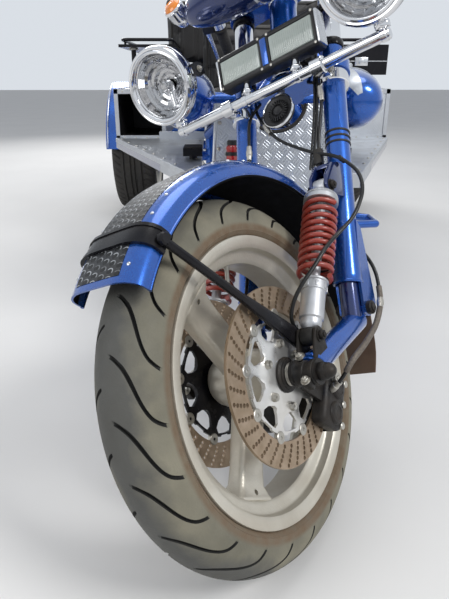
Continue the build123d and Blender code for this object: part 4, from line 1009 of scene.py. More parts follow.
# %% Links
for side, word in SIDES:
    x = side * LEG_X
    end = Vector((x, *AXLE))
    elbow = Vector((x, *ELBOW))
    way = (elbow - end).normalized()
    arm = round_bar(end + way * 0.012, elbow + way * 0.013, 0.0205, 40, bevel=0.0015)
    # the inner tube gets the darker blue: painted shade
    inner = tube(rounded_path([elbow - way * 0.004, (x, 0, 0.432), (x, 0, 0.468)], 0.03), 0.0182, False, 7)
    fork_piece(inner, f"inner_tube_{word}", dark_and_shaded_blue, angle=60)
    weld_turn = shift(end + way * 0.026) @ aimed(way)
    weld = copies(lathe(40, (-3.5, 20.2), (-1.5, 22.6), (1.5, 22.6), (3.5, 20.2)), [weld_turn])
    barrel_eye = copies(ring_lathe(36, (-18.4, 8.5), (-18.4, 13), (-17, 14.2), (17, 14.2), (18.4, 13), (18.4, 8.5)),
        [shift((x, *PIVOT))])
    tube_piece = fork_piece(joined(arm, weld, barrel_eye), f"link_{word}", paint)
    boss = copies(ring_lathe(40, (-21, 10.2), (-21, 19.5), (-19.5, 21.2), (-13.5, 21.2), (-12.5, 18.5), (-10.5, 17.5),
        (-2, 17.5), (-1, 19.2), (3, 19.2), (4, 17.5), (13.5, 17.5), (14.5, 20.5), (19.5, 20.5), (21, 19), (21, 10.2)),
        [shift((x, *AXLE))])
    pinch = [slab((-19, -11, 16), (-4, 11, 30), 2.5), slab((3, -9, -28), (18, 9, -16), 2.5)]
    pinch_bolts = copies(hex_bolt(0.0062, 0.01), [shift((s, y, z)) @ swing(-90, "Z") for s, y, z in ((-0.0115, -0.011,
        0.0235), (0.0105, -0.009, -0.0225))])
    at_axle = shift((x, *AXLE)) @ reflect(side) @ swing(-32, "X")
    boss = joined(boss, copies(joined(*pinch), [at_axle]))
    fork_piece(copies(pinch_bolts, [at_axle]), f"pinch_bolts_{word}", zinc)
    sy, sz = SHOCK_LOW
    ay, az = AXLE
    lugs = []
    for s in (1, -1):
        lug = plate([(sy - 0.015, sz - 0.003), (sy - 0.012, sz + 0.01), (sy, sz + 0.0155), (sy + 0.012, sz + 0.011),
            (sy + 0.0165, sz - 0.003), (ay + 0.06, az + 0.012), (ay + 0.05, az + 0.002), (ay + 0.004, az + 0.006)],
            0.005)
        lugs.append(bevelled(moved(lug, shift((side * SHOCK_X + s * 0.015, 0, 0))), 0.0012, 2))
    stub = lathe(28, (0, 0.1), (0, 12.5), (7.5, 12.5), (9, 11.2), (9, 8.2), (11.2, 7.8), (11.8, 0.1))
    stubs = copies(stub, [shift((x + s * 0.0252, *PIVOT)) @ reflect(s) for s in (1, -1)])
    fork_piece(joined(boss, *lugs, stubs), f"axle_clamp_{word}", worn_black)
    if side > 0:
        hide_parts("links")
    shock_bolt = bolt_at([(side * (SHOCK_X + 0.0178), sy, sz), (side * (SHOCK_X + 0.0178), *SHOCK_TOP)], 0.0085, side,
        0.02)
    inner_bolt = bolt_at([(side * (SHOCK_X - 0.0178), *SHOCK_TOP)], 0.0085, -side, 0.01)
    fork_piece(joined(shock_bolt, inner_bolt), f"shock_bolts_{word}", worn_black)

# %% Axle
thread = [(0.0692, 0.0105)]
for k in range(9):
    x = 0.0694 + k * 0.0021
    thread += [(x, 0.0176), (x + 0.0006, 0.0184), (x + 0.0014, 0.0184), (x + 0.002, 0.0176)]
thread.append((0.0884, 0.0105))
nuts, spacers, boots = [], [], []
for side in (1, -1):
    place = shift((0, *AXLE)) @ reflect(side)
    spacers.append(copies(turned(thread, steps=36, closed=True), [place]))
    boot = ring_lathe(40, (72.2, 10.5), (72.2, 26.2), (73.8, 28.3), (76.5, 27.6), (78.8, 23.8), (81.2, 23.4),
        (82.8, 20.2), (82.8, 10.5))
    boots.append(copies(boot, [place]))
    nut = copies(hex_bolt(0.0155, 0.012), [shift((0.1312, 0, 0))])
    dome = lathe(28, (144, 0.1), (144, 12.6), (150, 12.4), (156, 9.6), (159.5, 5), (160.2, 0.1))
    nuts.append(copies(joined(nut, dome), [place]))
    washer = ring_lathe(32, (130.5, 10), (130.5, 18.5), (132.8, 18.5), (132.8, 10))
    spacers.append(copies(washer, [place]))
bar = round_bar((-0.148, *AXLE), (0.148, *AXLE), 0.0099, 24)
axle_piece = fork_piece(joined(bar, *nuts), "front_axle_and_nuts", worn_black)
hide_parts("front_axle")
fork_piece(joined(*spacers), "axle_spacers", zinc)
fork_piece(joined(*boots), "axle_boots", worn_black)
print("links, clamps and axle made")

# %% [markdown]
# The legs end in flared, open sleeves, and the ears that hold the shocks get a darker blue than the legs, as
# painted shade. The sleeves are turned with their wall and rim. The ears and their bridge are cut to the same
# outline as the CAD's, a shade thicker, so that they cover it.

# %% Leg ends and shock ears
flare = ring_lathe(64, (0, 21.5), (0, 26.2), (-1.5, 27.5), (-3, 27.8), (-5.2, 26.8), (-14, 26.2), (-60, 24.6),
    (-100, 23.4), (-112, 23.1), (-112, 21.5))
upward_leg = swing(90, "Y")
ty, tz = SHOCK_TOP
above = [(-0.015, tz + 0.0625), (ty + 0.032, tz + 0.0586), (ty + 0.0035, tz + 0.0466)]
front = [(ty - 0.0146, tz + 0.0162), (ty - 0.0146, tz - 0.0023), (ty - 0.0083, tz - 0.0126),
    (ty + 0.0102, tz - 0.0136), (-0.015, tz - 0.0026)]
for side, word in SIDES:
    fork_piece(laid(flare, [shift((side * LEG_X, 0, 0.4305)) @ upward_leg]), f"leg_end_{word}", paint)
    ears = [moved(bevelled(plate(above + front, 0.006), 0.0012, 2), shift((side * SHOCK_X + s * 0.015, 0, 0)))
        for s in (1, -1)]
    bridge = plate(above + [(y, z - 0.008) for y, z in above[::-1]], 0.0355)
    ears.append(moved(bevelled(bridge, 0.0012, 2), shift((side * SHOCK_X, 0, 0))))
    fork_piece(joined(*ears), f"shock_ears_{word}", dark_and_shaded_blue)
discard(flare)
print("leg ends and ears made")

# %% [markdown]
# ## Calipers
# Two black sliding calipers sit behind the discs, each on an arm from the axle spacer. A block is bevelled,
# slotted for the disc, and gets its piston bulges, bridge bolts, pad pins and a hose fitting.

# %% Calipers
CALIPER = (-0.0448, 0.2226)
tilt = swing(-16, "X")
for side, word in SIDES:
    home = shift((side * 0.066, *CALIPER)) @ tilt @ reflect(side)
    body = slab((-29, -33, -47), (29, 33, 47))
    bevelled(body, 0.011, 3, 40)
    cut(body, slab((-4.5, -50, -70), (4.5, 21, 70)))
    for z in (-0.02, 0.021):
        cut(body, block((0.024, -0.012 + z * 0.2, z - 0.0012), (0.04, 0.02 + z * 0.2, z + 0.0012)))
    bulge = lathe(32, (22, 0.1), (22, 19.5), (29.5, 19.5), (32.5, 17), (33.5, 12), (32.5, 10.8), (32.5, 0.1))
    bulges = copies(bulge, [shift((0, 0.003, z)) for z in (-0.0215, 0.0215)])
    bridge = [round_bar((-0.031, 0.027, z), (0.031, 0.027, z), 0.0062, 18, bevel=0.001) for z in (-0.037, 0.0, 0.037)]
    rib = slab((-20, 30.5, -38), (20, 36.2, 38), 2)
    black = joined(body, bulges, rib)
    arm_plate = plate([(-0.1428, 0.2386), (-0.1428, 0.2706), (-0.0348, 0.2526), (-0.0248, 0.2026)], 0.0075)
    moved(arm_plate, shift((side * (LEG_X - 0.0262), 0, 0)))
    bevelled(arm_plate, 0.0012, 2)
    cut(arm_plate, round_bar((side * 0.06, *AXLE), (side * 0.12, *AXLE), 0.0183, 32))
    shell = joined(copies(black, [home]), arm_plate)
    made = fork_piece(shell, f"caliper_{word}", worn_black)
    pins = copies(joined(*bridge), [home])
    fitting = copies(joined(hex_bolt(0.0068, 0.01), ring_lathe(20, (0, 5), (0, 9.5), (7.2, 9.5), (7.2, 5))),
        [home @ shift((0.029, -0.012, 0.034))])
    fork_piece(joined(pins, fitting), f"caliper_bolts_{word}", zinc)
    if side > 0:
        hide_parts("calipers")
print("calipers at", CALIPER)

# %% [markdown]
# ## Front fender
# A rolled sheet bent round the wheel: a broad crown, two rounded flanks and a beaded edge. It is one section
# spun through part of a circle. A dark pierced panel lies on the crown with a row of small rivets each side,
# and a black strap goes over the front end and runs back as two stays.

# %% Fender sheet
FENDER_MID = (AXLE[0] + 0.0508, AXLE[1] - 0.0106)
FENDER_R = 0.383
FENDER_HALF = 0.068
FENDER_FROM, FENDER_TO = radians(15), radians(150)
FENDER_T = 0.003
fender_half = [(0.0, 0.0), (0.016, -0.0001), (0.03, -0.0003), (0.0417, -0.0014), (0.0523, -0.0047), (0.0607, -0.0099),
    (0.0661, -0.0165), (FENDER_HALF, -0.0238), (FENDER_HALF, -0.034)]


def swept_arc(profile, steps, start, end, mid):
    """A closed section swept round x from one angle up from forward to another, with its ends closed."""
    obj = turned(profile, steps=steps, closed=True, angle=end - start)
    shut(obj)
    return moved(obj, shift((0, *mid)) @ Matrix.Rotation(pi / 2 - start, 4, "X"))


def fender_run(offset):
    """The fender's section at a distance outside its sheet, from the left edge over the crown to the right."""
    left = []
    for i, (x, drop) in enumerate(fender_half):
        (x0, d0), (x1, d1) = fender_half[max(i - 1, 0)], fender_half[min(i + 1, len(fender_half) - 1)]
        lean = atan2(d0 - d1, x1 - x0) if i else 0.0
        left.append((x + offset * sin(lean), FENDER_R + drop + offset * cos(lean)))
    return left[::-1] + [(-x, r) for x, r in left[1:]]


outside, inside = fender_run(0.0), fender_run(-FENDER_T)
fender_sheet = swept_arc(outside + inside[::-1], 76, FENDER_FROM, FENDER_TO, FENDER_MID)
edge_y = FENDER_R - 0.034
beads = []
for x in (FENDER_HALF - 0.001, -FENDER_HALF + 0.001):
    circle = [(x + 0.003 * cos(a), edge_y + 0.003 * sin(a)) for a in [i * pi / 4 for i in range(8)]]
    beads.append(swept_arc(circle, 76, FENDER_FROM, FENDER_TO, FENDER_MID))
front_fender = fork_piece(joined(fender_sheet, *beads), "front_fender_sheet", paint, angle=50)
# The inside of the sheet and its side faces get the near-black matt: painted shade under the fender.
front_fender.data.materials.append(shaded_underside)
fender_centre = FORK @ Vector((0, *FENDER_MID))
spin_axis = (FORK.to_3x3() @ Vector((1, 0, 0))).normalized()
for face in front_fender.data.polygons:
    arm_out = face.center - fender_centre
    arm_out -= spin_axis * arm_out.dot(spin_axis)
    inner = face.normal.dot(arm_out.normalized()) < -0.2
    rim_side = abs(face.normal.dot(spin_axis)) > 0.8 and arm_out.length < edge_y and face.area > 1e-4
    if inner or rim_side:
        face.material_index = 1
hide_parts("front_fender")

# %% Pierced panel on the crown: holes in painted shade and hole rims with painted highlight, along the panel's own UV map
panel_half = [(x, r + 0.0007) for x, r in fender_run(0.0) if abs(x) < 0.045]
panel_low = [(x, r - 0.0004) for x, r in fender_run(0.0) if abs(x) < 0.045]
PANEL_FROM, PANEL_TO = radians(16.5), radians(147)
panel = swept_arc(panel_half + panel_low[::-1], 120, PANEL_FROM, PANEL_TO, FENDER_MID)
uv = panel.data.uv_layers.new(name="along")
for loop in panel.data.loops:
    x, y, z = panel.data.vertices[loop.vertex_index].co
    angle_up = atan2(z - FENDER_MID[1], -(y - FENDER_MID[0]))
    uv.data[loop.index].uv = (angle_up * FENDER_R, x)
pierced = finish("pierced_panel", (0.012, 0.013, 0.016), (0.024, 0.026, 0.03), (0.42, 0.55), 0.35, 25.0, dirt=0.2,
    Coat_Weight=0.15, Coat_Roughness=0.35)
tree = pierced.node_tree
along = put(tree, "UVMap", {"uv_map": "along"})
scaled = put(tree, "Mapping", i0=along.outputs[0], i3=(84.0, 66.0, 1.0))
split = put(tree, "SeparateXYZ", i0=scaled.outputs[0])
row = calc(tree, "FLOOR", split.outputs["Y"])
shifted = calc(tree, "MULTIPLY_ADD", calc(tree, "MODULO", row, 2.0), 0.5, split.outputs["X"])
du = calc(tree, "SUBTRACT", calc(tree, "FRACT", shifted), 0.5)
dv = calc(tree, "SUBTRACT", calc(tree, "FRACT", split.outputs["Y"]), 0.5)
away = calc(tree, "SQRT", calc(tree, "ADD", calc(tree, "MULTIPLY", du, du), calc(tree, "MULTIPLY", dv, dv)))
# Painted shade: the holes are coloured near black. Painted highlight: a pale arc on the lit side of each hole's rim,
# thinned out at random.
hole = ramp(tree, away, [(0.27, 1.0), (0.36, 0.0)])
lit_side = ramp(tree, calc(tree, "MULTIPLY_ADD", du, 1.2, calc(tree, "ADD", dv, 0.5)), [(0.52, 0.0), (0.62, 1.0)])
ring_line = calc(tree, "MULTIPLY", ramp(tree, away, [(0.3, 0.0), (0.36, 1.0)]), ramp(tree, away,
    [(0.41, 1.0), (0.47, 0.0)]))
rim_light = calc(tree, "MULTIPLY", ring_line, lit_side)
sparse = ramp(tree, put(tree, "TexNoise", i0=along.outputs[0], Scale=34.0, Detail=2.0).outputs["Fac"],
    [(0.4, 0.25), (0.58, 1.0)])
recolour(pierced, lambda t: hole, (0.003, 0.003, 0.003))
recolour(pierced, lambda t: calc(t, "MULTIPLY", rim_light, sparse), (0.5, 0.52, 0.54))
relief = put(tree, "Bump", {"invert": True}, Height=hole, Strength=0.8, Distance=0.001)
tree.links.new(relief.outputs[0], tree.nodes["Principled BSDF"].inputs["Normal"])
fork_piece(panel, "fender_panel", pierced, angle=50)


# %% Rivets, strap and stays
def fender_spot(x, angle):
    """A place on the fender's outside, its x axis pointing out of the sheet."""
    i = next(k for k in range(len(fender_half) - 1) if fender_half[k + 1][0] >= abs(x))
    (x0, d0), (x1, d1) = fender_half[i], fender_half[i + 1]
    drop = d0 + (d1 - d0) * (abs(x) - x0) / (x1 - x0)
    lean = atan2(d0 - d1, x1 - x0)
    ring = FENDER_R + drop
    place = shift((0, *FENDER_MID)) @ Matrix.Rotation(pi / 2 - angle, 4, "X")
    return place @ shift((x, 0, ring)) @ Matrix.Rotation(copysign(lean, x), 4, "Y") @ swing(-90, "Y")


rivet = lathe(12, (0, 0.1), (0, 2.8), (0.8, 2.6), (1.4, 1.6), (1.6, 0.1))
RIVET_GAP = radians(6.6)
rivet_spots = []
for x in (0.0505, -0.0505):
    angle = radians(19)
    while angle < radians(147):
        if abs(degrees(angle) - 26) > 4:
            rivet_spots.append(fender_spot(x, angle))
        angle += RIVET_GAP
fork_piece(copies(rivet, rivet_spots), "fender_rivets", satin_steel)
strap_out, strap_in = fender_run(0.0036), fender_run(0.0002)
strap = swept_arc(strap_out + strap_in[::-1], 4, radians(23.9), radians(28.6), FENDER_MID)
strap_edges = []
for angle in (24.1, 28.4):
    half = radians(0.42)
    strip = swept_arc(fender_run(0.0052) + strap_in[::-1], 2, radians(angle) - half, radians(angle) + half,
        FENDER_MID)
    strap_edges.append(strip)


def fender_point(x, lift, inset):
    angle = radians(lift)
    reach = FENDER_R - inset
    return Vector((x, FENDER_MID[0] - reach * cos(angle), FENDER_MID[1] + reach * sin(angle)))


stays = []
lug_face = SHOCK_X - 0.0175
for side, word in SIDES:
    top = fender_point(side * (FENDER_HALF + 0.0062), 26, 0.021)
    low = Vector((side * (lug_face - 0.0062), *SHOCK_LOW))
    flat_from = top.lerp(low, 0.52)
    stays.append(round_bar(top, flat_from.lerp(low, 0.06), 0.0062, 20, 0.0066))
    run = low - flat_from
    blade = block((-0.0048, -0.0165, 0), (0.0048, 0.0165, run.length + 0.014))
    for vertex in blade.data.vertices:
        if vertex.co.z < 0.001:
            vertex.co.y *= 0.4
    bevelled(blade, 0.003, 2, 40)
    turn = aimed(run, "Z", "X")
    level = swing(90, "Z")
    stays.append(moved(blade, shift(flat_from) @ turn @ level))
    stays.append(round_bar(top + Vector((-side * 0.002, 0, 0)), top + Vector((side * 0.008, 0, 0)), 0.009, 20,
        bevel=0.002))
    back = round_bar(fender_point(side * (FENDER_HALF + 0.005), 143, 0.021), (side * 0.0736, *PIVOT), 0.005, 16)
    stays.append(back)
hoop = fork_piece(joined(strap, *strap_edges, *stays), "fender_strap_and_stays", black_paint, angle=40)
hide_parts("fender_stays")
print("fender: rivets", len(rivet_spots), "radius", FENDER_R)

# %% [markdown]
# The flap behind the wheel is a sheet of brown rubber under a clamping strip with three rivets. Its rows of
# points follow a shallow curve, because rubber that hangs in the wind keeps a bow; a modifier makes it thick.

# %% Rubber flap
flap_top = fender_point(0, 150, 0.0055)
flap_low = Vector((0, 0.252, 0.3))
flap_length = (flap_low - flap_top).length
bow = (0.0, 0.0, 0.003, 0.006, 0.0075, 0.006, 0.0, -0.008)
rows = []
for i, out in enumerate(bow):
    share = i / (len(bow) - 1)
    half = 0.052 - 0.012 * share
    rows.append([(-half, out, share * flap_length), (half, out, share * flap_length)])
flap = draw_chain([row[0] for row in rows], False)
pick()
extrude((0.104, 0, 0))
mode("OBJECT")
for vertex in flap.data.vertices:
    near = min(rows, key=lambda row: abs(row[0][2] - vertex.co.z))
    vertex.co.x = near[1][0] if vertex.co.x > 0 else near[0][0]
solid = flap.modifiers.new("wall", "SOLIDIFY")
solid.thickness, solid.offset = 0.004, 0.0
apply_all(flap)
bevelled(flap, 0.0012, 2)
down = flap_low - flap_top
flap_place = shift(flap_top) @ aimed(down, "Z", "Y")
made = fork_piece(flap, "rubber_flap", brown_rubber, FORK @ flap_place)
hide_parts("fender_flap")
clamp_strip = slab((-50, -5.5, 4), (50, -2, 18), 1)
strip_rivets = copies(lathe(14, (0, 0.1), (0, 3.8), (1.2, 3.3), (2, 1.8), (2.1, 0.1)),
    [shift((x, -0.0055, 0.011)) @ swing(-90, "Z") for x in (-0.036, 0, 0.036)])
fork_piece(joined(clamp_strip, strip_rivets), "flap_strip", black_paint, FORK @ flap_place)

# %% [markdown]
# ## Headlamps
# A lamp is a stack of turned pieces: a bezel of two polished rings, a domed glass, a faceted mirror, a bulb
# shield and a bowl behind. The mirror's facets come from a scalloped profile spun in few, flat steps.

# %% Headlamp pieces
LAMP_X = 0.2443
LAMP_FACE = (-0.143, 0.926)
LAMP_TILT = radians(37)
BAR = (-0.06, 0.855)
GLASS_R = 0.0675
bezel = ring_lathe(96, (4.5, 66.8), (1, 67.5), (-3, 69.8), (-4.8, 72.5), (-3.6, 74.8), (-0.8, 75.7), (-2.8, 77.2),
    (-3.6, 80), (-1.2, 83.4), (4.5, 85), (13.5, 85), (14.5, 83.5), (14.5, 81.5), (4.5, 78))
bowl = lathe(72, (13.5, 83.5), (19, 83), (22, 80.5), (36, 76.5), (50, 70.5), (66, 59.5), (80, 44), (89, 29), (94, 14),
    (95.2, 0.1))
seam_ring = ring_lathe(72, (20.5, 79.5), (20.5, 83.8), (24.5, 83.8), (24.5, 78.5))


def mirror_depth(r):
    return 0.007 + 0.046 * (1 - (r / GLASS_R) ** 2)


mirror_profile = []
RINGS = 5
for i in range(RINGS):
    r0, r1 = [GLASS_R * (1 - 0.84 * k / RINGS) for k in (i, i + 1)]
    mirror_profile += [(mirror_depth(r0), r0), (mirror_depth((r0 + r1) / 2) - 0.0016, (r0 + r1) / 2)]
mirror_profile.append((mirror_depth(r1), r1))
behind = [(x + 0.0022, r) for x, r in mirror_profile[::-1]]
mirror = turned(mirror_profile + behind, steps=20, closed=True)
shield = lathe(32, (15.5, 0.1), (15.8, 7), (17.5, 9.8), (20, 10.6), (40, 10.6), (40, 0.1))
shield_ring = ring_lathe(32, (18.5, 12.5), (16.5, 14.2), (18.5, 15.9), (20.5, 14.2))
spokes = copies(slab((18, 9.5, -0.7), (19.5, 13.5, 0.7)), around(3))
bulb = lathe(24, (22, 0.1), (24, 4.8), (30, 6.2), (50, 6.2), (52, 0.1))
lens = lathe(72, (3.5, 68), (0.5, 66), (-4, 52), (-6.8, 34), (-8.2, 16), (-8.6, 0.1), (-6.2, 0.1), (-5.8, 16),
    (-4.4, 34), (-1.6, 52), (3, 66), (5.2, 68))
boot = lathe(36, (84, 0.1), (84, 32), (91, 32.5), (95.5, 24), (97.5, 12), (98.5, 0.1))
yoke_arm = plate([(0.02, -0.012), (0.05, -0.016), (0.07, -0.011), (0.07, 0.011), (0.05, 0.016), (0.02, 0.012)], 0.004,
    "Y")
for side, word in SIDES:
    place = FORK @ shift((side * LAMP_X, *LAMP_FACE)) @ Matrix.Rotation(LAMP_TILT, 4, "X") @ swing(90, "Z")
    ears = [laid(yoke_arm, [shift((0, s * 0.0815, 0))]) for s in (1, -1)]
    ear_bolts = copies(hex_bolt(0.0062, 0.01), [shift((0.052, s * 0.083, 0)) @ swing(s * 90, "Z") for s in (1, -1)])
    made = fork_piece(joined_copies(bezel, bowl, seam_ring), f"headlamp_{word}", chrome, place, 30)
    if side > 0:
        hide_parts("headlamps")
    fork_piece(joined_copies(mirror, shield, shield_ring, spokes), f"headlamp_mirror_{word}", chrome, place, 12)
    fork_piece(copy_of(bulb), f"headlamp_bulb_{word}", frosted, place)
    fork_piece(copy_of(lens), f"headlamp_glass_{word}", glass, place, 60)
    fork_piece(joined(copy_of(boot), *ears), f"headlamp_bracket_{word}", black_paint, place)
    fork_piece(ear_bolts, f"headlamp_bolts_{word}", zinc, place)
discard(bezel, bowl, seam_ring, mirror, shield, shield_ring, spokes, bulb, lens, boot, yoke_arm)
print("headlamp mirror facets:", RINGS * 20)

# %% [markdown]
# ## Twin driving lamp
# A deep black case with a raised frame round two pale ribbed lenses, a blue strip between them and bright
# end caps. Each lens sits in a pocket cut into the case; flutes are a row of thin bars joined to it.

# %% Twin lamp
TWIN_HALF, TWIN_H, TWIN_DEPTH, LENS_X = 0.122, 0.076, 0.034, 0.063
twin_place = FORK @ shift((0, -0.079, 0.931)) @ swing(12.3, "X")
case = bevelled(block((-TWIN_HALF, -0.003, -TWIN_H / 2), (TWIN_HALF, TWIN_DEPTH, TWIN_H / 2)), 0.006, 3)
for side in (1, -1):
    x = side * LENS_X
    cut(case, block((x - 0.051, -0.01, -0.027), (x + 0.051, 0.003, 0.027), 0.002))
fins = copies(block((-0.11, TWIN_DEPTH - 0.001, -0.0012), (0.11, TWIN_DEPTH + 0.005, 0.0012), 0.0004),
    [shift((0, 0, z * 0.009)) for z in range(-3, 4)])
made = fork_piece(joined(case, fins), "twin_lamp_case", plastic, twin_place)
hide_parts("twin_lamp")
for side, word in SIDES:
    x = side * LENS_X
    pad = bevelled(block((x - 0.05, -0.0035, -0.026), (x + 0.05, 0.003, 0.026)), 0.003, 3)
    flutes = copies(bevelled(slab((-1.9, -4.2, -22.5), (1.9, -3, 22.5)), 0.0008, 2, 20),
        [shift((x + i * 0.0046, 0, 0)) for i in range(-9, 10)])
    fork_piece(joined(pad, flutes), f"twin_lens_{word}", frosted, twin_place)
    cap_plate = bevelled(block((side * TWIN_HALF - 0.0035, -0.002, -0.034), (side * TWIN_HALF + 0.0035, 0.03, 0.034)),
        0.0025, 2)
    fork_piece(cap_plate, f"twin_end_{word}", satin_steel, twin_place)
strip = slab((-7.5, -4.8, -28.5), (7.5, 0, 28.5), 1.5)
fork_piece(strip, "twin_strip", paint, twin_place)
corner_screws = copies(lathe(12, (0, 0.1), (0, 3.2), (0.8, 3), (1.4, 1.6), (1.5, 0.1)),
    [shift((x, -0.003, z)) @ swing(-90, "Z") for x in (-0.115, -0.011, 0.011, 0.115) for z in (-0.0325, 0.0325)])
fork_piece(corner_screws, "twin_screws", zinc, twin_place)

# %% [markdown]
# ## Lamp bar
# One bright tube in front of the legs. Split clamps close round the legs and the bar, each with two bolts, and
# short studs with nuts carry the lamps.

# %% Lamp bar and clamps
BAR_HALF = 0.255
bar = round_bar((-BAR_HALF, *BAR), (BAR_HALF, *BAR), 0.011, 40, bevel=0.0015)
end_rings = copies(lathe(32, (-6, 11.2), (-4.5, 12.8), (4.5, 12.8), (6, 11.2)), [shift((x, *BAR))
    for x in (-0.244, 0.244, -0.065, 0.065)])
studs = []
back = Vector((0, cos(LAMP_TILT), sin(LAMP_TILT)))
for side in (1, -1):
    mid = Vector((side * LAMP_X, *LAMP_FACE)) + back * 0.045
    foot = Vector((side * LAMP_X, *BAR))
    studs.append(round_bar(foot, mid, 0.009, 20))
    studs.append(round_bar(foot.lerp(mid, 0.1), foot.lerp(mid, 0.22), 0.0145, 6, bevel=0.001))
    studs.append(round_bar((side * 0.06, *BAR), (side * 0.06, -0.059, 0.931), 0.008, 16))
    studs.append(round_bar((side * 0.06, -0.06, 0.868), (side * 0.06, -0.06, 0.878), 0.013, 6, bevel=0.001))
chrome_bar = fork_piece(joined(bar, end_rings, *studs), "lamp_bar", chrome)
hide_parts("light_bar")
around_leg = ring_lathe(48, (-13, 23.1), (-13, 29), (-11.5, 30.5), (11.5, 30.5), (13, 29), (13, 23.1))
around_bar = ring_lathe(36, (-13, 11.1), (-13, 15.5), (-11.5, 17), (11.5, 17), (13, 15.5), (13, 11.1))
neck_block = slab((-12.5, -50, -9), (12.5, -26, 9), 3)
flange = slab((-4, 28, -11), (4, 46, 11), 1.5)
upright = swing(90, "Y")
clamp = joined(copies(around_leg, [upright]), copies(around_bar, [shift((0, BAR[0], 0))]), neck_block, flange)
clamp_bolts = copies(hex_bolt(0.0065, 0.012), [shift((0.005, 0.037, 0)), shift((0.0135, -0.039, 0))])
legs = [shift((side * LEG_X, 0, BAR[1])) @ reflect(side) for side in (1, -1)]
fork_piece(copies(clamp, legs), "lamp_bar_clamps", chrome)
fork_piece(copies(clamp_bolts, legs), "lamp_bar_bolts", zinc)
print("lamp bar:", round(2 * BAR_HALF, 3), "m wide")

# %% [markdown]
# ## Dash pod, turn signals and horn
# The pod is an egg lying across the yoke, drawn as a turned profile, with a bright belt and two round gauges
# facing the rider. The signals are small bullets with amber lenses. The horn is a dish with a bright rim and
# a ring of slots.

# %% Dash pod
POD_MID = (-0.108, 1.1)
POD_HALF, POD_R = 0.19, 0.058
pod = turned([(-POD_HALF * cos(pi * i / 32), max(POD_R * sin(pi * i / 32) ** 0.8, 0.0001)) for i in range(33)],
    steps=72)
pod_place = FORK @ shift((0, *POD_MID))
tabs = [block((s * 0.056 - 0.014, 0.0406, 0.016), (s * 0.056 + 0.014, 0.086, 0.034), 0.003) for s in (1, -1)]
made = fork_piece(joined(pod, *tabs), "dash_pod_shell", dark_and_shaded_blue, pod_place, 40)
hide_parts("dash_pod")
belt = turned([(-0.003, POD_R - 0.001), (-0.003, POD_R + 0.0018), (0.003, POD_R + 0.0018), (0.003, POD_R - 0.001)],
    steps=72, closed=True)
belts = copies(belt, [HERE])
rings, faces, marks, glasses = [], [], [], []
for x in (-0.07, 0.07):
    look = shift((x, 0.022, 0.034)) @ swing(-35, "X") @ swing(-90, "Y")
    rings.append(copies(ring_lathe(56, (0, 34), (14, 36), (18, 39), (21, 38), (21.5, 35.5), (19, 34.5), (6, 33.8)),
        [look]))
    faces.append(copies(lathe(48, (4, 0.1), (4, 34.5), (12, 34.5), (12, 0.1)), [look]))
    tick = slab((11.9, -0.5, 27), (12.6, 0.5, 32))
    marks.append(copies(tick, [look @ swing(-130 + 26 * k, "X") for k in range(11)]))
    needle = slab((12.5, -0.8, -5), (13.2, 0.8, 26), 0.3)
    marks.append(copies(needle, [look @ swing(-130, "X")]))
    glasses.append(copies(lathe(48, (17, 0.1), (16.8, 35), (18.2, 35), (18.6, 0.1)), [look]))
fork_piece(joined(belts, *rings), "dash_pod_trim", chrome, pod_place)
fork_piece(joined(*faces), "gauge_faces", plastic, pod_place)
fork_piece(joined(*marks), "gauge_marks", white, pod_place)
fork_piece(joined(*glasses), "gauge_glass", glass, pod_place)

# %% Turn signals
for side, word in SIDES:
    x = side * (POD_HALF + 0.01)
    front = Vector((x, POD_MID[0] - 0.042, POD_MID[1] + 0.012))
    rear = Vector((x, POD_MID[0] + 0.012, POD_MID[1] - 0.004))
    place = FORK @ shift(front) @ aimed(rear - front)
    shell = lathe(40, (4, 20.5), (2, 22.5), (5, 24.2), (10, 24), (12, 22.8), (30, 22.2), (46, 17), (55, 8.5),
        (57.5, 0.1))
    stalk = copies(lathe(20, (-24, 8.8), (-22, 12.5), (-18, 9), (10, 8.5)),
        [shift((0.038, side * 0.02, 0)) @ swing(side * 90, "Z")])
    made = fork_piece(joined(shell, stalk), f"turn_signal_{word}", chrome, place)
    dome = lathe(40, (6, 21.2), (1, 20.6), (-3, 17), (-5.5, 9.5), (-6.2, 0.1))
    ribs = [turned([(-0.0045 + k * 0.0001, 0.006 * k + 0.0005), (-0.0068 + 0.0006 * k, 0.006 * k + 0.002),
        (-0.0045 + 0.001 * k, 0.006 * k + 0.0035)], steps=40, closed=True) for k in range(1, 3)]
    fork_piece(joined(dome, *ribs), f"turn_lens_{word}", amber, place)
    if side > 0:
        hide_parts("turn_signals")

# %% Horn
HORN_Z = 0.868 - 0.053
horn_place = FORK @ shift((0, -0.043, HORN_Z)) @ swing(90, "Z")
dish = lathe(56, (3, 0.1), (1.5, 9), (5.5, 12), (6.2, 24), (2.5, 31.5), (4, 34.5), (14, 34.5), (21, 28), (33, 18),
    (35, 12), (35, 0.1))
slots = copies(slab((1, -1.1, 13.5), (7.5, 1.1, 23.5), 0.4), around(24))
rim_ring = ring_lathe(56, (3, 34.5), (1, 35.7), (2, 37), (6, 37), (8, 35.2))
hanger = joined(slab((18, -9, 20), (21.5, 9, 53), 0.8), copies(hex_bolt(0.0065, 0.008), [shift((0.0215, 0, 0.044))]))
made = fork_piece(joined(dish, slots), "horn_dish", plastic, horn_place)
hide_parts("horn")
fork_piece(rim_ring, "horn_rim", chrome, horn_place)
fork_piece(hanger, "horn_hanger", zinc, horn_place)
print("pod, signals and horn made")

# %% [markdown]
# ## Handlebar, grips and levers
# The bar is a curve with rounded bends turned into a tube. Each grip is a turned profile with ribs. A lever
# is a flat outline, bevelled until it is round, on a clamp with a small master cylinder. Cables and brake
# hoses follow curves.

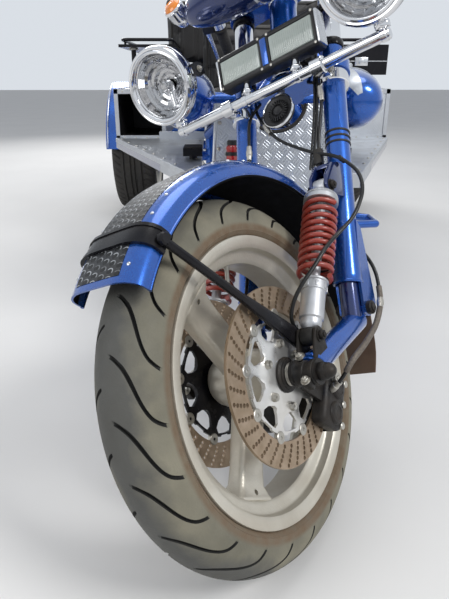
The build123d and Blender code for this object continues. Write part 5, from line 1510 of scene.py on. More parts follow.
# %% Handlebar
YOKE_TOP = 1.138
bends = ((0.045, 0.008, 0.0), (0.045, 0.008, 0.157), (0.12, 0.024, 0.184), (0.29, 0.09, 0.252), (0.345, 0.19, 0.24),
    (0.4, 0.33, 0.197))
arms = [tube(rounded_path([(side * x, y, YOKE_TOP + up) for x, y, up in bends], 0.045), 0.013, False, 5)
    for side in (1, -1)]
brace = round_bar((-0.045, 0.008, YOKE_TOP + 0.11), (0.045, 0.008, YOKE_TOP + 0.11), 0.01, 20)
made = fork_piece(joined(*arms, brace), "handlebar_tube", chrome, angle=50)
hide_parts("handlebar")
riser = lathe(32, (0, 23.5), (3, 25), (20, 23.5), (34, 20.5), (36, 13.5))
risers = copies(riser, [shift((s * 0.045, 0.008, YOKE_TOP)) @ swing(-90, "Y") for s in (1, -1)])
fork_piece(risers, "handlebar_risers", chrome)

# %% Grips and levers
grip_profile = [(0.0, 0.013), (0.0, 0.0225), (0.004, 0.0228), (0.0055, 0.0175)]
for k in range(16):
    x = 0.0085 + k * 0.0068
    grip_profile += [(x, 0.0168), (x + 0.001, 0.018), (x + 0.0042, 0.018), (x + 0.0052, 0.0168)]
grip_profile += [(0.122, 0.0178), (0.125, 0.0155), (0.1262, 0.0001)]
grip = turned(grip_profile, steps=28)
lever = plate([(0.0, 0.0), (0.012, 0.008), (0.05, 0.006), (0.11, 0.001), (0.15, 0.004), (0.158, 0.0), (0.152, -0.007),
    (0.11, -0.009), (0.05, -0.005), (0.012, -0.008)], 0.007, "Z")
bevelled(lever, 0.0028, 2, 40)
collar = ring_lathe(28, (-14, 13.1), (-14, 19), (14, 19), (14, 13.1))
cylinder = slab((-20, -52, -14), (22, -16, 12), 4)
lid = slab((-19, -51, 12.5), (21, -17, 18), 2)
lid_screws = copies(lathe(10, (0, 0.1), (0, 3), (1.5, 2.2), (1.7, 0.1)), [shift((x, y, 0.018)) @ swing(-90, "Y")
    for x in (-0.014, 0.016) for y in (-0.047, -0.021)])
clamp_at = [shift((-0.018, 0, 0))]
for side, word in SIDES:
    a, b = [Vector((side * x, y, YOKE_TOP + up)) for x, y, up in bends[-2:]]
    way = (b - a).normalized()
    out = (way.cross(Vector((0, 0, 1)))).normalized() * side
    up = way.cross(out).normalized()
    up = up if up.z > 0 else -up
    basis = Matrix((way, -out, up)).transposed().to_4x4()
    place = FORK @ shift(a + way * 0.025) @ basis
    made = fork_piece(copy_of(grip), f"grip_rubber_{word}", rubber, place, 30)
    if side > 0:
        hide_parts("grips")
    lean = shift((-0.008, -0.042, -0.002)) @ swing(4, "Z")
    metal = joined(laid(lever, [lean]), laid(collar, clamp_at), laid(lid, clamp_at))
    fork_piece(metal, f"brake_lever_{word}", satin_steel, place)
    fork_piece(laid(cylinder, clamp_at), f"master_cylinder_{word}", plastic, place)
    fork_piece(laid(lid_screws, clamp_at), f"lid_screws_{word}", zinc, place)
discard(grip, lever, collar, cylinder, lid, lid_screws)

# %% Cables down from the bar, brake hoses and clamps
HOSES = (((-72, -14, 868), (-65.8, -20, 841.8), (-17, -30, 759.4), (70.5, -36, 695.5), (131.3, -42, 664),
    (172.5, -54, 614.8), (184.2, -66, 572.3), (172, -84, 520), (144.6, -110, 482.4), (139, -137, 454.6),
    (126.8, -150, 425.7), (111.2, -164, 397.5), (96, -168, 370.4), (84, -160, 346), (80, -110, 300), (84, -58, 268)),
    ((60, -14, 868), (94, -32, 840), (97, -30, 802), (82, -32, 700), (80, -6, 630), (84, 34, 575), (112, 44, 520),
    (140, 56, 470), (142, 64, 420), (150, 40, 388), (150, 14, 350), (148, -32, 312), (142, -68, 284), (118, -66, 252),
    (90, -56, 236)), ((-60, -14, 868), (-80, -31, 830), (-82, -32, 700), (-84, -36, 600), (-84, -44, 480),
    (-84, -60, 380), (-84, -56, 300), (-86, -50, 266)),)
paths = [rounded_path([Vector(p) / 1000 for p in route], 0.4, 8) for route in HOSES]
runs = [tube(path, 0.0034, False, 3) for path in paths]
made = fork_piece(joined(*runs), "brake_hose_runs", hose_rubber, angle=60)
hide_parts("brake_hoses")
wires = [tube([(0.0975 + dx, -0.0285 + dy, 0.9), (0.0985 + dx, -0.027 + dy, 0.8), (0.087 + dx, -0.0325 + dy, 0.72),
    (0.08 + dx, -0.0345 + dy, 0.66)], 0.0026, True, 2, resolution=6) for dx, dy in ((-0.007, -0.002), (-0.012, 0.004),
    (-0.0135, -0.003))]
fork_piece(joined(*wires), "bar_wires", hose_rubber, angle=60)
fork_piece(tube(paths[1][65:110], 0.0054, False, 3), "braided_sleeve", braid, angle=60)
sleeve = ring_lathe(18, (-16, 3.6), (-16, 5.2), (-6, 5.6), (-5, 6.6), (5, 6.6), (6, 5.6), (16, 5.2), (16, 3.6))
fitting_spots = []
for route, k in ((0, 1), (0, -2), (1, 1), (1, 8), (1, -2), (2, 1), (2, -2)):
    a, b = [Vector(HOSES[route][k + n]) / 1000 for n in (0, 1)]
    fitting_spots.append(shift(a.lerp(b, 0.62)) @ aimed(b - a))
fork_piece(copies(sleeve, fitting_spots), "hose_fittings", zinc)
hose_clip = joined(slab((75.5, -40.5, 665.5), (92.5, -26.5, 698.5), 3), slab((128.5, -44.5, 657), (134.5, -22.5, 665),
    1))
leg_ring = ring_lathe(48, (-2, 22.8), (-2, 24.2), (-1, 24.8), (1, 24.8), (2, 24.2), (2, 22.8))
leg_rings = copies(leg_ring, [shift((s * LEG_X, 0, z)) @ upright for s in (1, -1) for z in (0.735, 0.723, 0.711)])
fork_piece(joined(hose_clip, leg_rings), "hose_clips_and_rings", rubber)
print("hoses and cables made")

# %% [markdown]
# Above the lower yoke the fork tubes are thinner and bright, with a black collar at each end. Each is one
# turned sleeve over the tube.

# %% Upper fork tubes
sleeve_tube = ring_lathe(48, (928, 20.6), (928, 21.4), (1111, 21.4), (1111, 20.6))
collar = ring_lathe(48, (-8, 21), (-8, 24.6), (-6.5, 25.6), (6.5, 25.6), (8, 24.6), (8, 21))
upward = swing(-90, "Y")
fork_piece(copies(sleeve_tube, [shift((s * LEG_X, 0, 0)) @ upward for s in (1, -1)]), "upper_tubes", chrome)
fork_piece(copies(collar, [shift((s * LEG_X, 0, z)) @ upward for s in (1, -1) for z in (0.934, 1.02, 1.103)]),
    "upper_tube_collars", black_paint)
print("upper tubes made")

# %% [markdown]
# ## Bulkhead, floor and trim
# The tread plates keep their flat shape; what makes them look built is at their edges. Bright angle strips run
# along the floors, a rubber bead lines the arch of the bulkhead, and small domed screws hold everything at
# even steps. One screw is modelled and copied along each edge.

# %% Places on the chassis, measured from the foot of the steering axis
SHIFT = 1.404278
CHASSIS = shift((0, -SHIFT, 0))


def chassis_piece(obj, name, material, angle=35):
    return piece(obj, name, material, "root", CHASSIS, angle)


def screws(spots, size=0.0045, facing=(0, 0, 1)):
    """Domed screw heads at places on the chassis, all facing one way."""
    head = turned([(0, 0.0001), (0, size), (size * 0.25, size * 0.96), (size * 0.5, size * 0.6),
        (size * 0.56, size * 0.3), (size * 0.3, size * 0.1), (size * 0.3, 0.0001)], steps=14)
    turn = aimed(Vector(facing))
    return copies(head, [shift(p) @ turn for p in spots])


def along(a, b, step):
    """Points from a to b at about an even step, half a step in from the ends."""
    a, b = Vector(a), Vector(b)
    count = max(1, round((b - a).length / step))
    return [a.lerp(b, (i + 0.5) / count) for i in range(count)]


def angle_strip(a, b, width, rise, thickness, inward):
    """An L-shaped strip from a to b: a flat leaf inward and an upright leaf downward."""
    a, b, inward = Vector(a), Vector(b), Vector(inward).normalized()
    run = b - a
    flat = block((0, 0, 0), (run.length, width, thickness), 0.0008, 1)
    wall = block((0, -thickness, thickness - rise), (run.length, 0.0005, thickness), 0.0008, 1)
    way = run.normalized()
    up = way.cross(inward)
    basis = Matrix((way, inward, up if up.z > 0 else -up)).transposed().to_4x4()
    if basis.determinant() < 0:
        return copies(joined(flat, wall), [shift(a) @ basis])
    return moved(joined(flat, wall), shift(a) @ basis)


# %% Floor trim and screws
FLOOR_Z = 0.513
trims, skirts, heads = [], [], []
for side in (1, -1):
    a, b = Vector((side * 0.211, 0.654, FLOOR_Z)), Vector((side * 0.532, 1.517, FLOOR_Z))
    inward = Vector((-side * (b - a).y, side * (b - a).x, 0))
    inward = inward if inward.x * side < 0 else -inward
    trims.append(angle_strip(a, b, 0.022, 0.015, 0.0022, inward))
    skirts.append(angle_strip(a - Vector((0, 0, 0.0125)), b - Vector((0, 0, 0.0125)), 0.0008, 0.0235, 0.0012, inward))
    heads += [p + inward.normalized() * 0.011 + Vector((0, 0, 0.0022)) for p in along(a, b, 0.11)]
    heads += [p + Vector((0, 0, 0.0002)) for p in along((side * 0.205, 0.7, FLOOR_Z), (side * 0.205, 1.5, FLOOR_Z),
        0.16)]
    trims.append(block((min(side * 0.19, side * 0.216), 0.6545, FLOOR_Z - 0.034),
        (max(side * 0.19, side * 0.216), 0.6565, FLOOR_Z + 0.0022), 0.0006, 1))
chassis_piece(joined(*trims), "floor_trim", sheet)
chassis_piece(joined(*skirts), "floor_skirt", dark_and_shaded_blue)
chassis_piece(screws(heads), "floor_screws", zinc)

# %% Bulkhead bead, edge strips and screws
lean = shift((0, 0.688, 0)) @ shift((0, 0, 0.33)) @ swing(-7, "X") @ shift((0, 0, -0.33))
arch = [(0.078 * cos(a), 0.0, 0.69 + 0.078 * sin(a)) for a in [radians(-8 - 8.2 * i) for i in range(21)]]
bead = moved(tube(arch, 0.0052, False, 3), lean)
edges = []
for side in (1, -1):
    low, high = Vector((side * 0.168, -0.0036, 0.332)), Vector((side * 0.149, -0.0036, 0.678))
    edges.append(round_bar(low, high, 0.0042, 12))
edges.append(round_bar((-0.168, -0.0036, 0.333), (0.168, -0.0036, 0.333), 0.0042, 12))
chassis_piece(bead, "bulkhead_bead", rubber)
chassis_piece(moved(joined(*edges), lean), "bulkhead_edges", sheet)
spots = [p for s in (1, -1) for p in along((s * 0.156, -0.0027, 0.35), (s * 0.139, -0.0027, 0.665), 0.062)]
chassis_piece(moved(screws(spots, 0.005, (0, -1, 0)), lean), "bulkhead_screws", zinc)

# %% Mesh strip beside the bulkhead: one ring of sheet round a slot, repeated in staggered rows
hole = ring_lathe(6, (-0.6, 2.4), (-0.6, 3.5), (0.6, 3.5), (0.6, 2.4))
turn_up = swing(90, "Z")
spots = [shift((0.118 + 0.0062 * i + (0.0031 if j % 2 else 0), -0.0075, 0.5 + 0.0054 * j)) @ turn_up for i in range(8)
    for j in range(30)]
mesh_strip = moved(copies(hole, spots), lean)
rims = moved(joined(slab((113, -9.5, 494), (116.5, -2.5, 664), 0.8, 1), slab((166.5, -9.5, 494), (170, -2.5, 664),
    0.8, 1), slab((113, -9.5, 493.5), (170, -2.5, 497), 0.8, 1), slab((113, -9.5, 661), (170, -2.5, 664.5), 0.8, 1)),
    lean)
chassis_piece(joined(mesh_strip, rims), "mesh_strip", satin_steel)

# %% Floor fittings: a cross bracket with a hole on the right floor, and a reservoir on the bulkhead
bracket = bevelled(block((-0.362, 1.497, FLOOR_Z), (-0.185, 1.5, FLOOR_Z + 0.028)), 0.0006, 1)
cut(bracket, round_bar((-0.273, 1.45, FLOOR_Z + 0.015), (-0.273, 1.55, FLOOR_Z + 0.015), 0.0065, 20))
foot = block((-0.362, 1.4995, FLOOR_Z), (-0.185, 1.525, FLOOR_Z + 0.003), 0.0006, 1)
chassis_piece(joined(bracket, foot), "floor_bracket", sheet)
bottle_place = shift((-0.11, -0.0165, 0.535)) @ swing(-90, "Y")
bottle = moved(lathe(28, (0, 0.1), (0, 13), (3, 15), (40, 15), (44, 11), (44.5, 0.1)), bottle_place)
cap_top = moved(lathe(20, (44, 0.1), (44, 12.5), (54, 12.5), (56, 11), (56.5, 0.1)), bottle_place)
strap_round = moved(ring_lathe(28, (18, 15.1), (18, 16.6), (27, 16.6), (27, 15.1)), bottle_place)
chassis_piece(moved(bottle, lean), "reservoir", red_lens)
chassis_piece(moved(joined(cap_top, strap_round), lean), "reservoir_cap", plastic)
print("floor and bulkhead trim made")

# %% [markdown]
# ## Side boxes, racks, tanks and case
# Bright angle frames both boxes, with a handle on each outer side, and the open one gets a black lining:
# painted shade inside it. The racks get a low rail of bent tube and feet. The tanks are turned eggs with a pale
# strip along their top as painted highlight, a filler cap and straps.

# %% Box frames
frames, handles = [], []
for side in (1, -1):
    for lo, hi in (((0.338, 1.5375, 0.505), (0.534, 1.5415, 0.523)), ((0.338, 1.5375, 0.676), (0.534, 1.5415, 0.694)),
            ((0.338, 1.5375, 0.505), (0.354, 1.5415, 0.694)), ((0.518, 1.5375, 0.505), (0.534, 1.5415, 0.694))):
        x0, x1 = sorted((side * lo[0], side * hi[0]))
        frames.append(block((x0, lo[1], lo[2]), (x1, hi[1], hi[2]), 0.0008, 1))
    for z in (0.5055, 0.6915):
        x0, x1 = sorted((side * 0.528, side * 0.5325))
        frames.append(block((x0, 1.54, z - 0.0025), (x1, 2.242, z + 0.0025), 0.0008, 1))
    x0, x1 = sorted((side * 0.53, side * 0.5345))
    handles.append(block((x0, 1.83, 0.62), (x1, 1.95, 0.66), 0.002))
    handles.append(tube(rounded_path([(side * 0.532, 1.85, 0.64), (side * 0.552, 1.85, 0.64),
        (side * 0.552, 1.93, 0.64), (side * 0.532, 1.93, 0.64)], 0.012), 0.004, False, 2))
chassis_piece(joined(*frames), "box_frames", sheet)
box_mesh = nodes["side_boxes"].data
box_mesh.materials.append(upright_plate)
for face in box_mesh.polygons:
    face.material_index = int(abs(face.normal.z) < 0.5)
chassis_piece(joined(*handles), "box_handles", chrome, angle=50)
# The open box's black lining and inner sides: painted shade inside the box.
lining = slab((-524.5, 2000, 513), (-345.5, 2004, 684), 1, 1)
sides_in = [slab((-524.8, 1545, 512.5), (-522.8, 2000, 684.5)), slab((-347.2, 1545, 512.5), (-345.2, 2000, 684.5)),
    slab((-524, 1545, 512.2), (-346, 2000, 514.2)), slab((-524, 1545, 682.8), (-346, 2000, 684.8))]
chassis_piece(joined(lining, *sides_in), "box_shade_lining", plastic)
rivets_box = [p for s in (1, -1) for z in (0.514, 0.685) for p in along((s * 0.35, 1.5375, z), (s * 0.522, 1.5375, z),
    0.04)]
chassis_piece(screws(rivets_box, 0.0035, (0, -1, 0)), "box_rivets", zinc)

# %% Rack rails, feet and case latch
rails, feet = [], []
for side in (1, -1):
    x0, x1, y0, y1, z = side * 0.303, side * 0.486, 1.512, 2.128, 0.864
    rails.append(tube(rounded_path([(x0, 1.82, z), (x0, y0, z), (x1, y0, z), (x1, y1, z), (x0, y1, z), (x0, 1.82, z)],
        0.03), 0.006, False, 3))
    for x, y in ((x0, 1.6), (x0, 2.04), (x1, 1.6), (x1, 1.82), (x1, 2.04)):
        rails.append(round_bar((x, y, 0.847), (x, y, z), 0.0045, 12))
    for x in (side * 0.361, side * 0.453):
        for y in (1.58, 2.06):
            feet.append(round_bar((x, y, 0.69), (x, y, 0.695), 0.022, 24, bevel=0.001))
            feet.append(round_bar((x, y, 0.831), (x, y, 0.838), 0.016, 24, bevel=0.001))
chassis_piece(joined(*rails), "rack_rails", black_paint, angle=50)
chassis_piece(joined(*feet), "rack_feet", zinc)
case_trim = joined(slab((299.5, 1498.5, 790), (499.5, 1501.5, 792.5), 0.5, 1), slab((375, 1493.5, 775),
    (424, 1500.5, 805), 2), slab((390, 1490.5, 782), (409, 1494.5, 798), 1.5))
chassis_piece(case_trim, "case_latch", satin_steel)

# %% Tanks
TANK_X, TANK_Z, TANK_R, TANK_FRONT, TANK_BACK = 0.232, 0.68, 0.082, 0.775, 1.29
length = TANK_BACK - TANK_FRONT
EGG = 0.8                    # below 1 the widest place moves forward and both ends are fuller
tank_profile = [(length * (1 - cos(pi * i / 36)) / 2, max(TANK_R * sin(pi * (i / 36) ** EGG) ** EGG, 0.0001))
    for i in range(37)]
band = tank_profile[1:-1]
tank_shell = turned(tank_profile, steps=72)
# a pale strip along the tank's top: painted highlight
belt = turned([(x, r + 0.0014) for x, r in band] + [(x, r - 0.002) for x, r in band[::-1]], steps=5, closed=True,
    angle=radians(38))
shut(moved(belt, swing(-19, "X")))
filler = lathe(48, (75.5, 30), (82, 31), (85, 30), (85.5, 27), (93, 26.5), (96.5, 24), (98, 18), (98.5, 0.1))
notches = copies(slab((86, -1.2, 25.5), (93.5, 1.2, 27.5), 0.4), around(20))
filler = joined(filler, notches)
for side, word in SIDES:
    place = CHASSIS @ shift((side * TANK_X, TANK_FRONT, TANK_Z)) @ swing(90, "Z")
    made = piece(copy_of(tank_shell), f"tank_{word}", paint, "root", place, 50)
    if side > 0:
        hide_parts("tanks")
    # the pale strip, a painted highlight, lies a little outward of the top
    tip = swing(side * 12, "X")
    piece(laid(belt, [tip]), f"tank_highlight_strip_{word}", sheet, "root", place, 50)
    up = shift((length * 0.52, 0, 0)) @ swing(-90, "Y")
    piece(laid(filler, [up]), f"filler_cap_{word}", chrome, "root", place)
    straps = []
    for y in (0.93, 1.12):
        x = y - TANK_FRONT
        r = max(rr for xx, rr in tank_profile if abs(xx - x) < 0.02)
        straps.append(turned([(x - 0.009, r - 0.002), (x - 0.009, r + 0.0022), (x + 0.009, r + 0.0022),
            (x + 0.009, r - 0.002)], steps=64, closed=True))
    piece(joined(*straps), f"tank_straps_{word}", satin_steel, "root", place)
discard(tank_shell, belt, filler)
print("tanks and boxes dressed")

# %% [markdown]
# ## Pedals, neck and engine
# Ribbed pads lie on the pedals, and bright rings and nuts close the neck and the upper tubes. The engine
# block gets a ribbed cover, side fins, a sump, bolts, and two pulleys with a belt, all set on the plain block.

# %% Pedals, neck rings and stem nut
pads = [block((x, y, 0.5465), (x + 0.052, y + 0.006, 0.5505), 0.0015, 2) for x in (0.19, -0.242)
    for y in [0.91 + 0.0138 * k for k in range(6)]]
chassis_piece(joined(*pads), "pedal_ribs", rubber)
neck_rings = []
low, high = 0.896, 1.11
for z, r, h in ((low + 0.003, 0.0325, 0.006), (low + 0.012, 0.0315, 0.004), (high - 0.003, 0.0325, 0.006),
        (high - 0.012, 0.0315, 0.004)):
    neck_rings.append(round_bar((0, 0, z - h / 2), (0, 0, z + h / 2), r, 48, bevel=0.0012))
unturned = CHASSIS @ Matrix.Rotation(-rake, 4, "X")
piece(joined(*neck_rings), "neck_rings", satin_steel, "root", unturned)
stem = [round_bar((0, 0, 1.1375), (0, 0, 1.146), 0.021, 6, bevel=0.001), round_bar((0, 0, 1.1375), (0, 0, 1.1395),
    0.0245, 32), round_bar((0, 0, 1.146), (0, 0, 1.151), 0.015, 32, bevel=0.002)]
for s in (1, -1):
    stem.append(lathe(36, (1144, 0.1), (1144, 19.5), (1149, 20.5), (1152.5, 16), (1153.5, 0.1)))
    moved(stem[-1], shift((s * LEG_X, 0, 0)) @ swing(-90, "Y"))
fork_piece(joined(*stem), "stem_nut_and_caps", chrome)
pinches = bolt_at([(s * (LEG_X + 0.02), -0.0285, z + 0.013) for s in (1, -1) for z in (0.868, 1.112)], 0.0065, 1,
    0.03)
fork_piece(pinches, "yoke_bolts", zinc)

# %% Engine details
cover = slab((-110, 1820, 469), (110, 2180, 500), 10, 3)
ribs = copies(slab((-4, 1835, 499.5), (4, 2165, 506), 1.5), [shift((x, 0, 0)) for x in (-0.075, -0.05, -0.025, 0,
    0.025, 0.05, 0.075)])
sump = slab((-100, 1840, 330), (100, 2200, 372), 14, 3)
flange_plate = slab((-136, 1780, 415), (136, 2360, 423), 2)
fins_side = copies(slab((-146.5, 1800, 0), (-139, 2340, 4), 1), [shift((0, 0, 0.382 + 0.012 * k)) for k in range(7)])
fins_other = laid(fins_side, [reflect(-1)])
chassis_piece(joined(cover, ribs, sump, flange_plate, fins_side, fins_other), "engine_covers", engine_grey)
pulley = moved(lathe(48, (0, 0.1), (0, 18), (6, 20), (6, 58), (10, 60), (16, 52), (22, 60), (26, 58), (26, 0.1)),
    shift((0, 1.7605, 0.42)) @ swing(-90, "Z"))
small_pulley = moved(lathe(36, (0, 0.1), (0, 20), (4, 28), (11, 22), (18, 28), (22, 20), (22, 0.1)),
    shift((0.095, 1.7625, 0.445)) @ swing(-90, "Z"))
engine_bolts = screws([(x, y, 0.5) for x in (-0.1, 0.1) for y in (1.84, 1.95, 2.05, 2.16)], 0.008)
chassis_piece(joined(pulley, small_pulley), "engine_pulleys", satin_steel)
chassis_piece(engine_bolts, "engine_bolts", zinc)
belt_points = [(-0.058, 1.7445, 0.42)]
for k in range(13):
    a = radians(180 + 180 * k / 12 - 10)
    belt_points.append((0.0565 * cos(a), 1.7445, 0.42 + 0.0565 * sin(a)))
for k in range(9):
    a = radians(-40 + 150 * k / 8)
    belt_points.append((0.095 + 0.0245 * cos(a), 1.7445, 0.445 + 0.0245 * sin(a)))
chassis_piece(tube(belt_points, 0.0042, False, 2, cyclic=True), "engine_belt", rubber, angle=60)
print("engine dressed")

# %% [markdown]
# ## Seats and backrests
# Each pad starts as a bevelled block a little smaller than its CAD solid, is remeshed to an even skin and
# blown up by cloth pressure, while the side that rests on its pan is held. A cap keeps the swelling small.
# Sewn channels are pressed in afterwards along straight lines, with a row of stitches on both sides of each,
# and a piped edge is laid where the top meets the sides. Simulation gives the soft crown that no bevel gives.

# %% Box of a node, and the swelling of a pad
def box_of(name):
    points = np.array([v.co for v in nodes[name].data.vertices])
    return Vector(points.min(axis=0)), Vector(points.max(axis=0))


def coordinates(obj, what="co"):
    flat = np.empty(len(obj.data.vertices) * 3)
    obj.data.vertices.foreach_get(what, flat)
    return flat.reshape(-1, 3)


def swell(pad, facing, cap):
    """Blows a pad up like a filled cover; its back stays flat, and no point moves farther than the cap."""
    start = coordinates(pad)
    height = start @ np.array(facing)
    held = pad.vertex_groups.new(name="held")
    held.add([int(i) for i in np.nonzero(height < height.min() + 0.006)[0]], 1.0, "REPLACE")
    cloth = pad.modifiers.new("cloth", "CLOTH")
    rules = cloth.settings
    rules.quality, rules.mass = 5, 0.3
    rules.tension_stiffness, rules.compression_stiffness, rules.bending_stiffness = 12, 12, 1.5
    rules.use_pressure, rules.uniform_pressure_force = True, 4.0
    rules.vertex_group_mass = "held"
    rules.effector_weights.gravity = 0
    for frame_number in range(1, 21):
        scene.frame_set(frame_number)
    alone(pad)
    bpy.ops.object.modifier_apply(modifier="cloth")
    scene.frame_set(1)
    end = coordinates(pad)
    move = end - start
    length = np.maximum(np.linalg.norm(move, axis=1), 1e-9)
    move *= (np.minimum(length, cap) / length)[:, None]
    pad.data.vertices.foreach_set("co", (start + move).ravel())
    pad.vertex_groups.clear()
    finer = pad.modifiers.new("finer", "SUBSURF")
    finer.levels = finer.render_levels = 1
    return apply_all(pad)


def press(pad, facing, lines, depth, width):
    """Presses channels into the face of a pad along straight lines."""
    points, normals = coordinates(pad), coordinates(pad, "normal")
    way = np.array(facing)
    looks = np.clip(normals @ way * 1.7 - 0.35, 0, 1)
    flat = 1 - np.abs(way)
    push = np.zeros(len(points))
    for a, b in lines:
        a, run = np.array(a) * flat, (np.array(b) - np.array(a)) * flat
        share = np.clip(((points * flat - a) @ run) / (run @ run), 0, 1)
        gap = np.linalg.norm(points * flat - a - share[:, None] * run, axis=1)
        push = np.maximum(push, np.exp(-(gap / width) ** 2))
    points -= way * (depth * push * looks)[:, None]
    pad.data.vertices.foreach_set("co", points.ravel())
    pad.data.update()


def on_pad(pad, point, facing):
    """The place on a pad that lies behind a point, seen along its facing, and the normal there."""
    hit, spot, normal, face = pad.ray_cast(Vector(point) + Vector(facing) * 0.3, -Vector(facing))
    return (spot, normal) if hit else (None, None)


STITCH_AWAY = 0.0055         # from the middle of a channel to its stitches
STITCH_STEP = 0.0085
PIPING_R = 0.0042


def stitch_rows(pad, facing, lines):
    thread = round_bar((-0.0026, 0, 0), (0.0026, 0, 0), 0.0007, 5)
    places = []
    for a, b in lines:
        a, b = Vector(a), Vector(b)
        run = (b - a).normalized()
        beside = run.cross(Vector(facing)).normalized()
        for p in along(a, b, STITCH_STEP):
            for s in (1, -1):
                spot, normal = on_pad(pad, p + beside * s * STITCH_AWAY, facing)
                if spot is None or normal.dot(Vector(facing)) < 0.4:
                    continue
                lie = (run - normal * run.dot(normal)).normalized()
                basis = Matrix((lie, normal.cross(lie), normal)).transposed().to_4x4()
                places.append(shift(spot + normal * 0.0002) @ basis)
    return copies(thread, places)


def piping(pad, facing, level):
    """A cord sewn round the edge of a pad, at a share of its height."""
    points = coordinates(pad)
    low, high = points.min(axis=0), points.max(axis=0)
    axis = 2 if abs(facing[2]) > 0.5 else 1
    other = 3 - axis
    at = low[axis] + (high[axis] - low[axis]) * (level if facing[axis] > 0 else 1 - level)
    middle = (low + high) / 2
    half = (high - low) / 2
    ring = []
    for i in range(72):
        turn = 2 * pi * i / 72
        u = copysign(abs(cos(turn)) ** 0.32, cos(turn)) * half[0]
        v = copysign(abs(sin(turn)) ** 0.32, sin(turn)) * half[other]
        p = [0.0, 0.0, 0.0]
        p[0], p[other], p[axis] = middle[0] + u, middle[other] + v, at
        spot, normal = pad.closest_point_on_mesh(Vector(p))[1:3]
        ring.append(spot + normal * 0.0006)
    return tube(ring, PIPING_R, True, 2, cyclic=True, resolution=3)


# %% Making one pad
def padded(node, facing, across, upright, inset=(0.009, 0.016), cap=0.022):
    """A padded piece over a node: lines across it at some shares, and upright ones at others."""
    lo, hi = box_of(node)
    axis = 2 if abs(facing[2]) > 0.5 else 1
    other = 3 - axis
    a, b = list(lo), list(hi)
    for k in (0, other):
        a[k], b[k] = lo[k] + inset[0], hi[k] - inset[0]
    if facing[axis] > 0:
        b[axis] = hi[axis] - inset[1]
    else:
        a[axis] = lo[axis] + inset[1]
    pad = block(a, b, 0.024, 4)
    remesh = pad.modifiers.new("skin", "REMESH")
    remesh.mode, remesh.voxel_size = "VOXEL", 0.0075
    apply_all(pad)
    points = coordinates(pad)
    middle, half = (np.array(a) + np.array(b)) / 2, (np.array(b) - np.array(a)) / 2
    u, v = [(points[:, k] - middle[k]) / half[k] for k in (0, other)]
    points[:, 0] -= 0.007 * u * (1 - np.clip(v, -1, 1) ** 2) * np.abs(u) ** 3
    points[:, other] -= 0.007 * v * (1 - np.clip(u, -1, 1) ** 2) * np.abs(v) ** 3
    pad.data.vertices.foreach_set("co", points.ravel())
    swell(pad, facing, cap)
    face_at = b[axis] if facing[axis] > 0 else a[axis]

    def point(su, sv):
        p = [0.0, 0.0, 0.0]
        p[0], p[other], p[axis] = middle[0] + half[0] * su, middle[other] + half[other] * sv, face_at
        return tuple(p)

    edge = 0.93
    lines = [(point(-edge, s), point(edge, s)) for s in across] + [(point(s, -edge), point(s, edge)) for s in upright]
    press(pad, facing, lines, 0.009, 0.0075)
    stitches = stitch_rows(pad, facing, lines)
    cord = piping(pad, facing, 0.74)
    made = piece(pad, f"{node}_pad", leather, angle=60)
    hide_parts(node)
    piece(stitches, f"{node}_stitches", stitch)
    piece(cord, f"{node}_piping", rubber, angle=60)
    return made


rider_seat = padded("rider_seat", (0, 0, 1), (-0.66, -0.33, 0.0, 0.33, 0.66), (-0.8, 0.8))
rider_back = padded("rider_backrest", (0, -1, 0), (-0.5, 0.0, 0.5), (-0.8, 0.8), inset=(0.008, 0.014), cap=0.018)
bench = padded("passenger_seat", (0, 0, 1), (-0.5, 0.0, 0.5), (-0.84, 0.0, 0.84))
rest = padded("backrest", (0, -1, 0), (), (-0.8, -0.6, -0.4, -0.2, 0.0, 0.2, 0.4, 0.6, 0.8))
print("pads:", [len(p.data.polygons) for p in (rider_seat, rider_back, bench, rest)])

# %% [markdown]
# The backs of both backrests are closed by a black board with a bright edge, screwed on from behind, as
# upholsterers make them. The boards are bevelled plates that lie on the flat back of the pads.

# %% Back boards
for node, shrink in (("rider_backrest", 0.026), ("backrest", 0.03)):
    lo, hi = box_of(node)
    board = block((lo.x + shrink, hi.y - 0.0005, lo.z + shrink), (hi.x - shrink, hi.y + 0.0035, hi.z - shrink),
        0.0016, 2)
    corners = [(lo.x + shrink, lo.z + shrink), (hi.x - shrink, lo.z + shrink), (hi.x - shrink, hi.z - shrink),
        (lo.x + shrink, hi.z - shrink)]
    loop = [(x, hi.y + 0.002, z) for x, z in corners]
    trim = tube(rounded_path(loop + loop[:2], 0.012, 4)[1:-1], 0.003, False, 2)
    heads = []
    for (x0, z0), (x1, z1) in zip(corners, corners[1:] + corners[:1]):
        heads += along((x0, hi.y + 0.0035, z0), (x1, hi.y + 0.0035, z1), 0.11)
    middle = Vector(((lo.x + hi.x) / 2, hi.y + 0.0035, (lo.z + hi.z) / 2))
    heads = [p + (middle - p) * 0.06 for p in heads]
    for p in heads:
        p.y = hi.y + 0.0035
    piece(board, f"{node}_board", plastic)
    piece(trim, f"{node}_board_trim", sheet)
    piece(screws(heads, 0.004, (0, 1, 0)), f"{node}_board_screws", zinc)
print("seats and backrests made")

# %% [markdown]
# ## Rear wheels
# Two wide car tyres on pale steel rims. The tyre's section is turned with two sidewall ribs. Its tread is made
# the same way as the front one's: rows of points are slid along the tyre and pushed in, here for zigzag
# channels and slanted cuts on the shoulders. The rim is turned, its windows are cut through, and five nuts,
# a cap and a valve are copied on.

